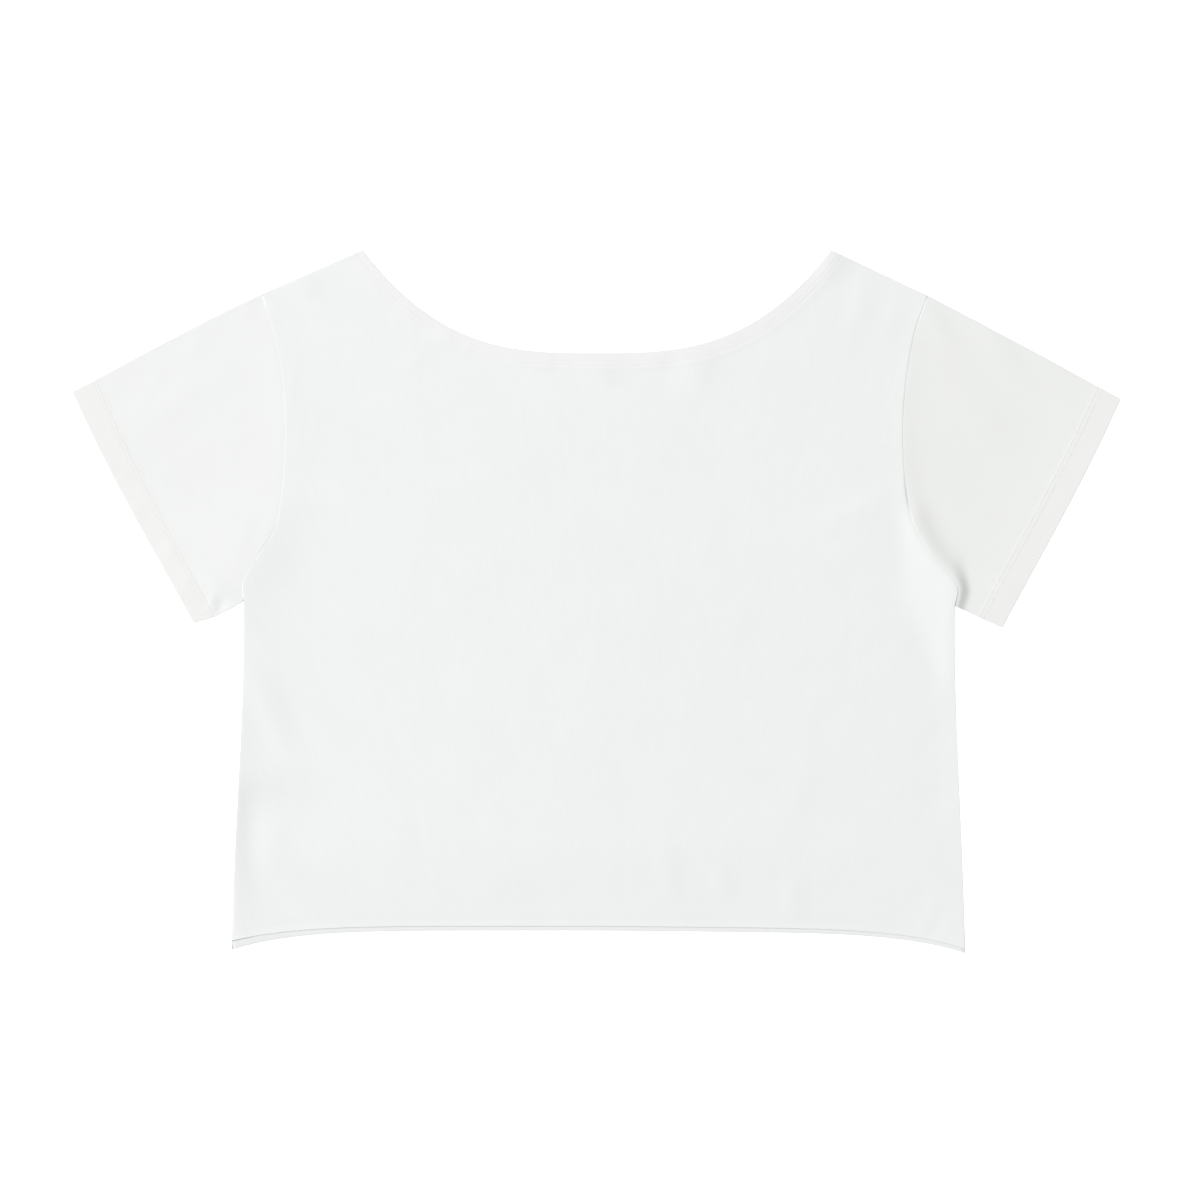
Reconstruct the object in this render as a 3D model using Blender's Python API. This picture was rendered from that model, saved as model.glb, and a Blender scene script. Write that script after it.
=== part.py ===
"""Cropped cotton T-shirt, laid flat: a front and a back panel lying on each other, with short set-in sleeves.

Metres, +Z up, with the neck towards +Y and the cloth lying on the plane z = 0. The origin is the middle of
the garment's outline, on the surface under it. Left and right are the wearer's: the left sleeve reaches +X.

Every piece is a closed wall of cloth on a grid of stations. A panel's rows run from its hem to its neck edge
and end on the side seams, the armholes and the shoulders, so that each seam is a line of the grid. A sleeve
is a flattened tube whose rings run from the armhole, where they share the panels' stations, to the cuff. The
neck and the cuffs have a turned hem, so the cloth is two plies thick there. The bottom hem is a cut edge.
"""

from typing import NamedTuple

import bpy
import numpy as np

# Cloth. A panel's seam edge lies straight on the back panel's, so the two are a flat stack there.
PLY = 0.0010
GAP = 0.0003
STACK = 2 * PLY + GAP
HEM_STACK = 4 * PLY + GAP
COTTON_RGB = (0.87, 0.88, 0.87)
COTTON_ROUGHNESS = 0.92

# Neck: a wide scoop. Its depth below the two corners falls off with a power of the distance from the middle.
NECK_HALF_WIDTH = 0.1640
NECK_CORNER_LEVEL = 0.2461
NECK_DEPTH = 0.0721
NECK_POWER = 3.0
NECK_HEM = 0.0120

# Bottom hem: straight in the middle, running down towards the side seams. The front is cut a little shorter.
HEM_LEVEL = -0.2303
FRONT_SHORTER = 0.0032
HEM_CURL_WIDTH = 0.0080
HEM_CURL_RISE = 0.0006

# Side seams: drawn in a little, most of all near the underarm.
SIDE_BOW = 0.0015

# Sleeves.
CUFF_HEM = 0.0190
STEP_WIDTH = 0.0010
CUFF_BOW_SKEW = 1.4

# How far the upper layer stands off the lower one, between the seams.
PANEL_CROWN = 0.0016
PANEL_CROWN_POWER = 6
ARMHOLE_CROWN = 0.0012
SLEEVE_CROWN = 0.0010
HEM_RAMP = 0.0300

# Stations of the grids.
COLUMNS = 28
SIDE_SEAM_ROWS = 7
ARMHOLE_ROWS = 10
SHOULDER_ROWS = 3
SLEEVE_RINGS = 6
FOLD_STEPS = 4
CURVE_SAMPLES = 400
SHARP_ANGLE = np.radians(40.0)


class Place(NamedTuple):
    """A point of the outline: its distance from the centre line, and its height in the plan."""

    out: float
    up: float


class Side(NamedTuple):
    """One half of the garment. towards is +1 on the wearer's left and -1 on the right.

    hem_tilt and hem_drop are how far the hem runs down to the side seam, evenly and by a power. front_lift is
    how much shorter still the front panel is there. fold_bow, low_bow and cuff_bow are how far the sleeve's
    upper fold, lower fold and cuff bow out.
    """

    towards: int
    hem_out: float
    hem_tilt: float
    hem_drop: float
    hem_power: float
    front_lift: float
    armhole: tuple
    cuff_low: Place
    cuff_high: Place
    fold_bow: float
    low_bow: float
    cuff_bow: float


# Each armhole runs from the underarm to the shoulder point.
RIGHT = Side(
    towards=-1,
    hem_out=0.2559,
    hem_tilt=0.0,
    hem_drop=0.0135,
    hem_power=6.0,
    front_lift=0.0030,
    armhole=(
        Place(0.2470, 0.0005),
        Place(0.2470, 0.0150),
        Place(0.2360, 0.0340),
        Place(0.2240, 0.0560),
        Place(0.2186, 0.1000),
        Place(0.2190, 0.1450),
        Place(0.2246, 0.1810),
        Place(0.2340, 0.2155),
    ),
    cuff_low=Place(0.2822, -0.0150),
    cuff_high=Place(0.3670, 0.1467),
    fold_bow=0.0009,
    low_bow=0.0020,
    cuff_bow=0.0022,
)
LEFT = Side(
    towards=1,
    hem_out=0.2580,
    hem_tilt=0.0025,
    hem_drop=0.0133,
    hem_power=6.0,
    front_lift=0.0,
    armhole=(
        Place(0.2510, -0.0030),
        Place(0.2520, 0.0120),
        Place(0.2340, 0.0330),
        Place(0.2195, 0.0620),
        Place(0.2147, 0.1060),
        Place(0.2160, 0.1480),
        Place(0.2222, 0.1860),
        Place(0.2318, 0.2140),
    ),
    cuff_low=Place(0.2839, -0.0186),
    cuff_high=Place(0.3670, 0.1418),
    fold_bow=0.0005,
    low_bow=0.0003,
    cuff_bow=0.0018,
)


class Fold(NamedTuple):
    """A soft ridge, or a trough where its rise is negative.

    turn is its direction in degrees from +X. length and width are how far it reaches along and across that
    direction before it has faded to about a third.
    """

    x: float
    y: float
    turn: float
    length: float
    width: float
    rise: float


PANEL_FOLDS = (
    Fold(-0.222, -0.066, 118.0, 0.050, 0.016, 0.0012),
    Fold(-0.224, -0.128, 8.0, 0.045, 0.022, -0.0012),
    Fold(-0.160, -0.170, 110.0, 0.070, 0.024, 0.0006),
    Fold(0.188, 0.062, 23.0, 0.060, 0.016, -0.0008),
    Fold(0.176, 0.036, 24.0, 0.050, 0.016, 0.0007),
    Fold(0.236, -0.030, 95.0, 0.060, 0.014, 0.0012),
    Fold(-0.126, 0.167, 60.0, 0.030, 0.016, -0.0007),
    Fold(0.081, 0.158, 80.0, 0.036, 0.018, -0.0008),
    Fold(0.055, -0.205, 20.0, 0.060, 0.020, -0.0008),
    Fold(-0.060, -0.020, 122.0, 0.120, 0.024, 0.0006),
    Fold(0.110, -0.070, 118.0, 0.110, 0.026, -0.0006),
)
SLEEVE_FOLDS = (
    Fold(-0.262, 0.040, 125.0, 0.040, 0.016, 0.0010),
    Fold(-0.300, 0.090, 150.0, 0.050, 0.020, -0.0006),
    Fold(0.252, 0.046, 118.0, 0.045, 0.012, -0.0010),
    Fold(0.300, 0.080, 60.0, 0.050, 0.022, 0.0007),
)


def even_points(curve, count):
    """count + 1 points at even distances along a polyline of plan points."""
    steps = np.linalg.norm(np.diff(curve, axis=0), axis=1)
    travelled = np.concatenate([[0.0], np.cumsum(steps)])
    stations = np.linspace(0.0, travelled[-1], count + 1)
    return np.stack([np.interp(stations, travelled, curve[:, axis]) for axis in (0, 1)], axis=1)


def smooth_curve(points):
    """A fine polyline on the Catmull-Rom curve through the points."""
    ends = [2 * points[0] - points[1], 2 * points[-1] - points[-2]]
    knots = np.vstack([ends[0], points, ends[1]])
    t = np.linspace(0.0, 1.0, CURVE_SAMPLES // len(points))[:, None]
    pieces = []
    for before, start, end, after in zip(knots, knots[1:], knots[2:], knots[3:]):
        straight = 2 * start + (end - before) * t
        bent = (2 * before - 5 * start + 4 * end - after) * t**2
        twisted = (3 * start - before - 3 * end + after) * t**3
        pieces.append((straight + bent + twisted) / 2)
    return np.vstack(pieces)


def plan_point(side, place):
    """A place on one side of the garment as an (x, y) point."""
    return np.array([side.towards * place.out, place.up])


def edge_normals(curve):
    """Unit normals of a polyline, to the left of its direction."""
    along = np.gradient(curve, axis=0)
    along /= np.linalg.norm(along, axis=1, keepdims=True)
    return np.stack([-along[:, 1], along[:, 0]], axis=1)


def smooth_step(t):
    """0 below t = 0, 1 above t = 1, and a soft ramp between them."""
    t = np.clip(t, 0.0, 1.0)
    return t * t * (3 - 2 * t)


def neck_curve(count):
    """Points along the neck edge, from the wearer's right corner to the left one."""
    x = np.linspace(-NECK_HALF_WIDTH, NECK_HALF_WIDTH, CURVE_SAMPLES)
    y = NECK_CORNER_LEVEL - NECK_DEPTH * (1 - np.abs(x / NECK_HALF_WIDTH) ** NECK_POWER)
    return even_points(np.stack([x, y], axis=1), count)


def hem_curve(count, front):
    """Points along a panel's bottom hem, from the right side seam to the left one."""
    x = np.linspace(-RIGHT.hem_out, LEFT.hem_out, count + 1)
    y = np.full(count + 1, HEM_LEVEL)
    for side in (RIGHT, LEFT):
        out = np.maximum(x * side.towards, 0.0) / side.hem_out
        y -= side.hem_tilt * out + side.hem_drop * out**side.hem_power
        if front:
            y += side.front_lift * out**side.hem_power
    if front:
        y += FRONT_SHORTER
    return np.stack([x, y], axis=1)


def armhole_seam(side):
    """The seam line between a panel and its sleeve, from the underarm to the shoulder point."""
    places = np.array([plan_point(side, place) for place in side.armhole])
    return even_points(smooth_curve(places), ARMHOLE_ROWS)


def armhole_edge(side, outward):
    """The armhole seam moved half a gap outwards, for the sleeve, or inwards, for a panel."""
    seam = armhole_seam(side)
    away = edge_normals(seam) * -side.towards
    return seam + away * (GAP / 2 if outward else -GAP / 2)


def panel_end(side, hem_corner, neck_corner):
    """A panel's edge: up the side seam, round the armhole and along the shoulder to the neck hem."""
    armhole = armhole_edge(side, outward=False)
    curl_line = hem_corner + np.array([0.0, HEM_CURL_WIDTH])
    share = np.linspace(0.0, 1.0, SIDE_SEAM_ROWS + 1)[:-1]
    side_seam = curl_line + share[:, None] * (armhole[0] - curl_line)
    side_seam[:, 0] -= side.towards * SIDE_BOW * np.sin(np.pi * share**2)
    shoulder = neck_corner - armhole[-1]
    turned_end = neck_corner - NECK_HEM * shoulder / np.linalg.norm(shoulder)
    along_shoulder = np.linspace(armhole[-1], turned_end, SHOULDER_ROWS + 1)[1:]
    return np.vstack([hem_corner, side_seam, armhole, along_shoulder])


def neck_hem_line(neck, ends, width):
    """The neck edge moved into the cloth by a width, with its two ends on the shoulders."""
    line = neck - edge_normals(neck) * width
    line[0], line[-1] = ends
    return line


def panel_plan(front):
    """The panel's grid of (x, y) stations: rows from the hem to the neck edge, columns from right to left."""
    hem = hem_curve(COLUMNS, front)
    neck = neck_curve(COLUMNS)
    right = panel_end(RIGHT, hem[0], neck[0])
    left = panel_end(LEFT, hem[-1], neck[-1])
    top = neck_hem_line(neck, (right[-1], left[-1]), NECK_HEM)
    across = np.linspace(0.0, 1.0, COLUMNS + 1)[:, None]
    travelled = np.cumsum(np.linalg.norm(np.diff(right, axis=0), axis=1))
    risen = np.concatenate([[0.0], travelled / travelled[-1]])
    hem_shape = hem - (hem[0] + across * (hem[-1] - hem[0]))
    top_shape = top - (top[0] + across * (top[-1] - top[0]))
    rows = []
    for start, end, up in zip(right, left, risen):
        straight = start + across * (end - start)
        rows.append(straight + (1 - up) * hem_shape + up * top_shape)
    share = STEP_WIDTH / NECK_HEM
    rows.insert(-1, rows[-1] + (rows[-1] - neck) * share)
    rows.append(neck)
    return np.array(rows)


def turned_rows(plan):
    """Which rows of a panel lie in its turned neck hem."""
    turned = np.zeros(len(plan), dtype=bool)
    turned[-2:] = True
    return turned


def folds_at(plan, folds):
    """The height that the soft folds add at each station."""
    height = np.zeros(plan.shape[:-1])
    for fold in folds:
        turn = np.radians(fold.turn)
        from_fold = plan - np.array([fold.x, fold.y])
        along = from_fold @ np.array([np.cos(turn), np.sin(turn)])
        across = from_fold @ np.array([-np.sin(turn), np.cos(turn)])
        height += fold.rise * np.exp(-((along / fold.length) ** 2) - (across / fold.width) ** 2)
    return height


def armhole_crown():
    """How far the upper layer stands off the lower one at each station of an armhole."""
    return ARMHOLE_CROWN * np.sin(np.pi * np.linspace(0.0, 1.0, ARMHOLE_ROWS + 1))


def front_top(plan):
    """The height of the front panel's outer face: low at the seams, crowned and folded between them."""
    rows, columns = plan.shape[:2]
    at_end = np.zeros(rows)
    first = 1 + SIDE_SEAM_ROWS
    at_end[first : first + ARMHOLE_ROWS + 1] = armhole_crown()
    from_middle = np.abs(np.linspace(-1.0, 1.0, columns))
    inside = 1 - from_middle**PANEL_CROWN_POWER
    loft = at_end[:, None] + inside * (PANEL_CROWN + folds_at(plan, PANEL_FOLDS))
    to_neck = np.linalg.norm(plan - plan[-1], axis=-1)
    near_neck = smooth_step(1 - (to_neck - NECK_HEM) / HEM_RAMP)
    loft *= 1 - near_neck
    curl = np.zeros((rows, 1))
    curl[0] = HEM_CURL_RISE
    return STACK + np.maximum(loft, 0.0) + near_neck * (HEM_STACK - STACK) + curl


def cotton(name):
    """A matt off-white cotton jersey."""
    material = bpy.data.materials.new(name)
    material.use_nodes = True
    shader = material.node_tree.nodes["Principled BSDF"]
    shader.inputs["Base Color"].default_value = (*COTTON_RGB, 1.0)
    shader.inputs["Roughness"].default_value = COTTON_ROUGHNESS
    shader.inputs["Metallic"].default_value = 0.0
    return material


def add_object(name, points, faces):
    """Links a mesh of the given points and faces to the scene, smooth shaded, in its own material."""
    mesh = bpy.data.meshes.new(name)
    mesh.from_pydata([tuple(point) for point in points], [], faces)
    mesh.validate()
    mesh.shade_smooth()
    mesh.set_sharp_from_angle(angle=SHARP_ANGLE)
    mesh.materials.append(cotton(name + "_jersey"))
    piece = bpy.data.objects.new(name, mesh)
    bpy.context.scene.collection.objects.link(piece)
    return piece


def grid_faces(index, wrap=False):
    """Quads over a grid of point numbers, counter-clockwise where rows go up and columns go right.

    wrap joins the last column to the first.
    """
    if wrap:
        index = np.column_stack([index, index[:, 0]])
    lower_left, lower_right = index[:-1, :-1], index[:-1, 1:]
    upper_left, upper_right = index[1:, :-1], index[1:, 1:]
    quads = np.stack([lower_left, lower_right, upper_right, upper_left], axis=-1)
    return quads.reshape(-1, 4).tolist()


def panel(name, plan, top, bottom):
    """A closed wall between a panel's top and bottom heights."""
    rows, columns = plan.shape[:2]
    count = rows * columns
    upper = np.arange(count).reshape(rows, columns)
    lower = upper + count
    faces = grid_faces(upper) + grid_faces(lower[:, ::-1])
    faces += grid_faces(np.stack([lower[0], upper[0]]))
    faces += grid_faces(np.stack([upper[-1], lower[-1]]))
    faces += grid_faces(np.stack([upper[:, 0], lower[:, 0]]))
    faces += grid_faces(np.stack([lower[:, -1], upper[:, -1]]))
    flat = plan.reshape(-1, 2)
    points = np.vstack([np.column_stack([flat, height.ravel()]) for height in (top, bottom)])
    return add_object(name, points, faces)


def back_panel():
    """The back panel, flat on the surface, two plies thick at the neck hem."""
    plan = panel_plan(front=False)
    thickness = np.where(turned_rows(plan), 2 * PLY, PLY)[:, None]
    bottom = np.zeros(plan.shape[:2])
    return panel("back_panel", plan, bottom + thickness, bottom)


def front_panel():
    """The front panel, lying on the back one, two plies thick at the neck hem."""
    plan = panel_plan(front=True)
    thickness = np.where(turned_rows(plan), 2 * PLY, PLY)[:, None]
    top = front_top(plan)
    return panel("front_panel", plan, top, top - thickness)


def sleeve_plan(side):
    """The sleeve's grid of (x, y) stations: rows from armhole to cuff, and columns from underarm to fold."""
    armhole = armhole_edge(side, outward=True)
    low, high = plan_point(side, side.cuff_low), plan_point(side, side.cuff_high)
    cuff = np.linspace(low, high, ARMHOLE_ROWS + 1)
    away = edge_normals(cuff) * -side.towards
    slant = away[0] @ (armhole[0] - low), away[0] @ (armhole[-1] - high)
    across = np.linspace(0.0, 1.0, ARMHOLE_ROWS + 1)[:, None]
    cuff += side.cuff_bow * np.sin(np.pi * across**CUFF_BOW_SKEW) * away
    hem = cuff - away * CUFF_HEM
    step = cuff - away * (CUFF_HEM + STEP_WIDTH)
    for line, depth in ((hem, CUFF_HEM), (step, CUFF_HEM + STEP_WIDTH)):
        line[0] = low + (armhole[0] - low) * depth / abs(slant[0])
        line[-1] = high + (armhole[-1] - high) * depth / abs(slant[1])
    share = np.linspace(0.0, 1.0, SLEEVE_RINGS)[:, None, None]
    across_fold = edge_normals(np.array([high, armhole[-1]]))[0] * -side.towards
    bow = side.fold_bow * across**3 * across_fold
    body = armhole + share * (step - armhole) + 4 * share * (1 - share) * bow
    rings = np.concatenate([body, hem[None], cuff[None]])
    below = edge_normals(np.array([armhole[0], low]))[0] * -side.towards
    far = np.linalg.norm(rings[:, 0] - armhole[0], axis=1) / np.linalg.norm(low - armhole[0])
    return rings + side.low_bow * np.sin(np.pi * far)[:, None, None] * (1 - across) ** 3 * below


def sleeve_top(plan):
    """The height of the sleeve's outer face, from the panels' to the doubled hem's at the cuff."""
    to_cuff = np.linalg.norm(plan - plan[-1], axis=-1)
    length = to_cuff[0]
    near_cuff = smooth_step(1 - (to_cuff - CUFF_HEM) / np.minimum(HEM_RAMP, length - CUFF_HEM))
    across = np.sin(np.pi * np.linspace(0.0, 1.0, plan.shape[1]))
    along = 1 - to_cuff / length
    crown = armhole_crown() * (1 - along) + SLEEVE_CROWN * across * np.sin(np.pi * along)
    loft = crown + folds_at(plan, SLEEVE_FOLDS) * across * np.sin(np.pi * along)
    return STACK + np.maximum(loft, 0.0) * (1 - near_cuff) + near_cuff * (HEM_STACK - STACK)


def sleeve_ring(stations, top, thickness, inset):
    """One ring of a flattened tube: over the upper layer, round the fold, back under, and round the other.

    inset is how far the ring lies inside the outer face, so it is nought for the outer ring and the wall's
    thickness for the inner one.
    """
    unit = [stations[1] - stations[0], stations[-2] - stations[-1]]
    inwards = [direction / np.linalg.norm(direction) for direction in unit]
    upper = np.column_stack([stations, top - inset])[1:-1]
    lower = np.column_stack([stations, np.full(len(stations), inset)])[1:-1]
    turns = np.linspace(np.pi / 2, -np.pi / 2, FOLD_STEPS + 1)
    bends = []
    for end, inward in ((0, inwards[0]), (-1, inwards[1])):
        middle = top[end] / 2
        radius = middle - inset
        reach = middle - radius * np.cos(turns)
        height = middle + radius * np.sin(turns)
        bends.append(np.column_stack([stations[end] + reach[:, None] * inward, height]))
    return np.vstack([upper, bends[1], lower[::-1], bends[0][::-1]])


def sleeve(name, side):
    """A short sleeve: a flattened tube, open at the armhole and at the cuff."""
    plan = sleeve_plan(side)
    top = sleeve_top(plan)
    thickness = np.full(len(plan), PLY)
    thickness[-2:] = 2 * PLY
    outer = [sleeve_ring(row, height, wall, 0.0) for row, height, wall in zip(plan, top, thickness)]
    inner = [sleeve_ring(row, height, wall, wall) for row, height, wall in zip(plan, top, thickness)]
    rings, around = len(outer), len(outer[0])
    outside = np.arange(rings * around).reshape(rings, around)
    inside = outside + rings * around
    faces = grid_faces(outside, wrap=True) + grid_faces(inside[:, ::-1], wrap=True)
    faces += grid_faces(np.stack([inside[0], outside[0]]), wrap=True)
    faces += grid_faces(np.stack([outside[-1], inside[-1]]), wrap=True)
    if side.towards > 0:
        faces = [face[::-1] for face in faces]
    return add_object(name, np.vstack(outer + inner), faces)


def clear_scene():
    """Removes every object of the open scene."""
    for thing in list(bpy.data.objects):
        bpy.data.objects.remove(thing, do_unlink=True)


def main():
    """Builds the four cut pieces."""
    clear_scene()
    back_panel()
    front_panel()
    sleeve("right_sleeve", RIGHT)
    sleeve("left_sleeve", LEFT)


main()
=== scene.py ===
"""Cropped T-shirt of cotton jersey, laid flat: the cloth, the way it lies, and its twin-needle stitching.

Metres, +Z up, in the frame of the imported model: the neck is towards +Y and the wearer's left towards +X. The
front and back panels lie on each other and meet at the side seams and the shoulders. Each sleeve is a
flattened tube, sewn into its armhole. The neck and the cuffs have turned hems, and the bottom hem is a cut
edge.

The cloth is built as closed walls on grids of stations. The cut gives each station its place in plan, and the
lie gives it its height: a low crown, the bulk of the seams, and creases placed one by one, with faint ones
strewn between them.
"""

from __future__ import annotations

import logging
import math
from dataclasses import dataclass
from enum import Enum
from typing import Any, Iterable, NamedTuple, Sequence

import bpy
import numpy as np
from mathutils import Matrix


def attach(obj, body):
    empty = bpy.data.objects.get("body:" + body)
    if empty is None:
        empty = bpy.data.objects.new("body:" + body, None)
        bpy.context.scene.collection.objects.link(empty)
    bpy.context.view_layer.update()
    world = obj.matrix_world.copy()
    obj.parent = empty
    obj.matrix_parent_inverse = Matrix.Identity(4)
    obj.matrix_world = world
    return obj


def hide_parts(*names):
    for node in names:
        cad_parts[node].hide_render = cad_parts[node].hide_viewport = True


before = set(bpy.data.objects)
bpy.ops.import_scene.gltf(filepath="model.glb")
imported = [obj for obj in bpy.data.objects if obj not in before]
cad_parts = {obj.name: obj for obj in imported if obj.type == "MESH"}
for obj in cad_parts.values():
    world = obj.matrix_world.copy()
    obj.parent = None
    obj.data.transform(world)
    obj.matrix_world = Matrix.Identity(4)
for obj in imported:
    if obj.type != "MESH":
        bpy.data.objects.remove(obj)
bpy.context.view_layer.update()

LOG = logging.getLogger("t_shirt")
Array = np.ndarray
Stations = tuple[tuple[float, float], ...]
Edge = tuple[Array, dict[str, Array]]

MM = 0.001
UV_MAP = "cloth"
TURNED = "turned"
SHARP = math.radians(50.0)
TINY = 1e-12
WHITE = "#FFFFFF"

CURVE_SAMPLES = 60
NECK_SAMPLES = 81
SOFT_SAMPLES = 801
SOFT_WINDOW = 33
EDGE_SAMPLES = 15
PUCKER_WINDOW = 7

# The first stations in from a piece's edge, in mm.
RIM = (0.0, 0.03, 0.1, 0.2, 0.33, 0.6, 1.2, 2.2, 3.6)
# Where a facet starts and stops rising, in widths of its bend from its fold lines.
BEND_RANGE = (-8.0, 60.0)
# The power that moves the middle of a cuff's bow towards its upper end.
CUFF_BOW_SKEW = 1.4
# The length of one wave of Blender's wave texture at a scale of 1, in metres.
WAVE_LENGTH = math.pi / 10


# ---------------------------------------------------------------- small tools


def linear(colour: str) -> tuple[float, float, float, float]:
    """Turns a colour to linear.

    Args:
        colour: The colour as sRGB hex.

    Returns:
        It as linear red, green, blue and alpha.
    """
    shares = [int(colour[at : at + 2], 16) / 255 for at in (1, 3, 5)]
    red, green, blue = (s / 12.92 if s <= 0.04045 else ((s + 0.055) / 1.055) ** 2.4 for s in shares)
    return red, green, blue, 1.0


def add_node(
    tree: bpy.types.NodeTree, kind: str, inputs: dict | None = None, **settings: Any
) -> bpy.types.Node:
    """Adds a node with its settings, its values and its links.

    Args:
        tree: The tree that it goes into.
        kind: The node's type, such as ShaderNodeBump.
        inputs: A value, or another node's output, for each input by its name or number.
        **settings: The node's own properties.

    Returns:
        The new node.
    """
    node = tree.nodes.new(kind)
    for name, value in settings.items():
        setattr(node, name, value)
    for name, value in (inputs or {}).items():
        if isinstance(value, bpy.types.NodeSocket):
            tree.links.new(value, node.inputs[name])
        else:
            node.inputs[name].default_value = value
    return node


def new_material(name: str) -> tuple[bpy.types.Material, bpy.types.NodeTree, bpy.types.Node]:
    """Makes a material with nodes.

    Args:
        name: The material's name.

    Returns:
        The material, its tree and its shader.
    """
    material = bpy.data.materials.new(name)
    material.use_nodes = True
    tree = material.node_tree
    return material, tree, tree.nodes["Principled BSDF"]


def add_object(name: str, data: bpy.types.ID) -> bpy.types.Object:
    """Makes an object and links it to the scene.

    Args:
        name: The object's name.
        data: Its mesh, lamp or lens.

    Returns:
        The new object.
    """
    made = bpy.data.objects.new(name, data)
    bpy.context.scene.collection.objects.link(made)
    return made


def smooth_step(share: Array) -> Array:
    """0 below a share of 0, 1 above 1, and a soft ramp between them."""
    share = np.clip(share, 0.0, 1.0)
    return share * share * (3 - 2 * share)


def quarter_round(radii: Array) -> Array:
    """How high a rounded edge has risen, from 0 to 1, at a distance from it in radii."""
    return np.sqrt(1 - (1 - np.clip(radii, 0.0, 1.0)) ** 2)


def soft_values(share: Array, stations: Stations) -> Array:
    """Values between stations along a share of 0 to 1, with the corners at the stations softened.

    Args:
        share: Where the values are wanted.
        stations: Pairs of a share and its value, in rising order.

    Returns:
        One value for each share.
    """
    fine = np.linspace(-0.5, 1.5, SOFT_SAMPLES)
    raw = np.interp(fine, *zip(*stations))
    kernel = np.hanning(SOFT_WINDOW)
    return np.interp(share, fine, np.convolve(raw, kernel / kernel.sum(), "same"))


def travelled(curve: Array) -> Array:
    """How far along a polyline each of its points is."""
    steps = np.linalg.norm(np.diff(curve, axis=0), axis=1)
    return np.concatenate([[0.0], np.cumsum(steps)])


def points_along(curve: Array, shares: Array) -> Array:
    """The points at shares of a polyline's length."""
    far = travelled(curve)
    return np.stack([np.interp(shares * far[-1], far, column) for column in curve.T], axis=1)


def smooth_curve(points: Array) -> Array:
    """A fine polyline on the Catmull-Rom curve through some points.

    Args:
        points: The points, in order.

    Returns:
        The polyline's points, CURVE_SAMPLES for each step from point to point.
    """
    knots = np.vstack([2 * points[0] - points[1], points, 2 * points[-1] - points[-2]])
    t = np.linspace(0.0, 1.0, CURVE_SAMPLES)[:, None]
    pieces = []
    for before, start, end, after in zip(knots, knots[1:], knots[2:], knots[3:]):
        straight = 2 * start + (end - before) * t
        bent = (2 * before - 5 * start + 4 * end - after) * t**2
        twisted = (3 * start - before - 3 * end + after) * t**3
        pieces.append((straight + bent + twisted) / 2)
    return np.vstack(pieces)


def unit(vectors: Array) -> Array:
    """Vectors of length 1."""
    return vectors / np.maximum(np.linalg.norm(vectors, axis=-1, keepdims=True), TINY)


def normals_of(curve: Array) -> Array:
    """Unit normals of a plan polyline, to the left of its direction."""
    along = unit(np.gradient(curve, axis=0))
    return np.stack([-along[:, 1], along[:, 0]], axis=1)


def nearest(plan: Array, line: Array) -> tuple[Array, Array]:
    """How far plan points are from a polyline.

    Args:
        plan: Points, with x and y in the last axis.
        line: The polyline's points.

    Returns:
        For each point its distance to the line, and how far along the line the nearest place is.
    """
    far = travelled(line)
    best = np.full(plan.shape[:-1], np.inf)
    place = np.zeros(plan.shape[:-1])
    for start, end, before, after in zip(line, line[1:], far, far[1:]):
        if after <= before:
            continue
        step = end - start
        share = np.clip((plan - start) @ step / (step @ step), 0.0, 1.0)
        distance = np.linalg.norm(plan - start - share[..., None] * step, axis=-1)
        closer = distance < best
        best = np.where(closer, distance, best)
        place = np.where(closer, before + share * (after - before), place)
    return best, place


def graded(
    length: float, step: float, start: Sequence[float] = (0.0,), end: Sequence[float] = (0.0,)
) -> Array:
    """Shares of a length, close together at its ends and even between them.

    Args:
        length: The whole length.
        step: The even spacing.
        start: The distances of the first stations from the start, in mm.
        end: The distances of the last stations from the end, in mm.

    Returns:
        Shares from 0 to 1, an even number of cells apart.
    """
    first, last = np.array(start) * MM, length - np.array(end)[::-1] * MM
    cells = max(2, round((last[0] - first[-1]) / step))
    cells += (cells + len(first) + len(last)) % 2
    middle = np.linspace(first[-1], last[0], cells + 1)[1:-1]
    return np.concatenate([first, middle, last]) / length


# ---------------------------------------------------------------- hems


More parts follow.
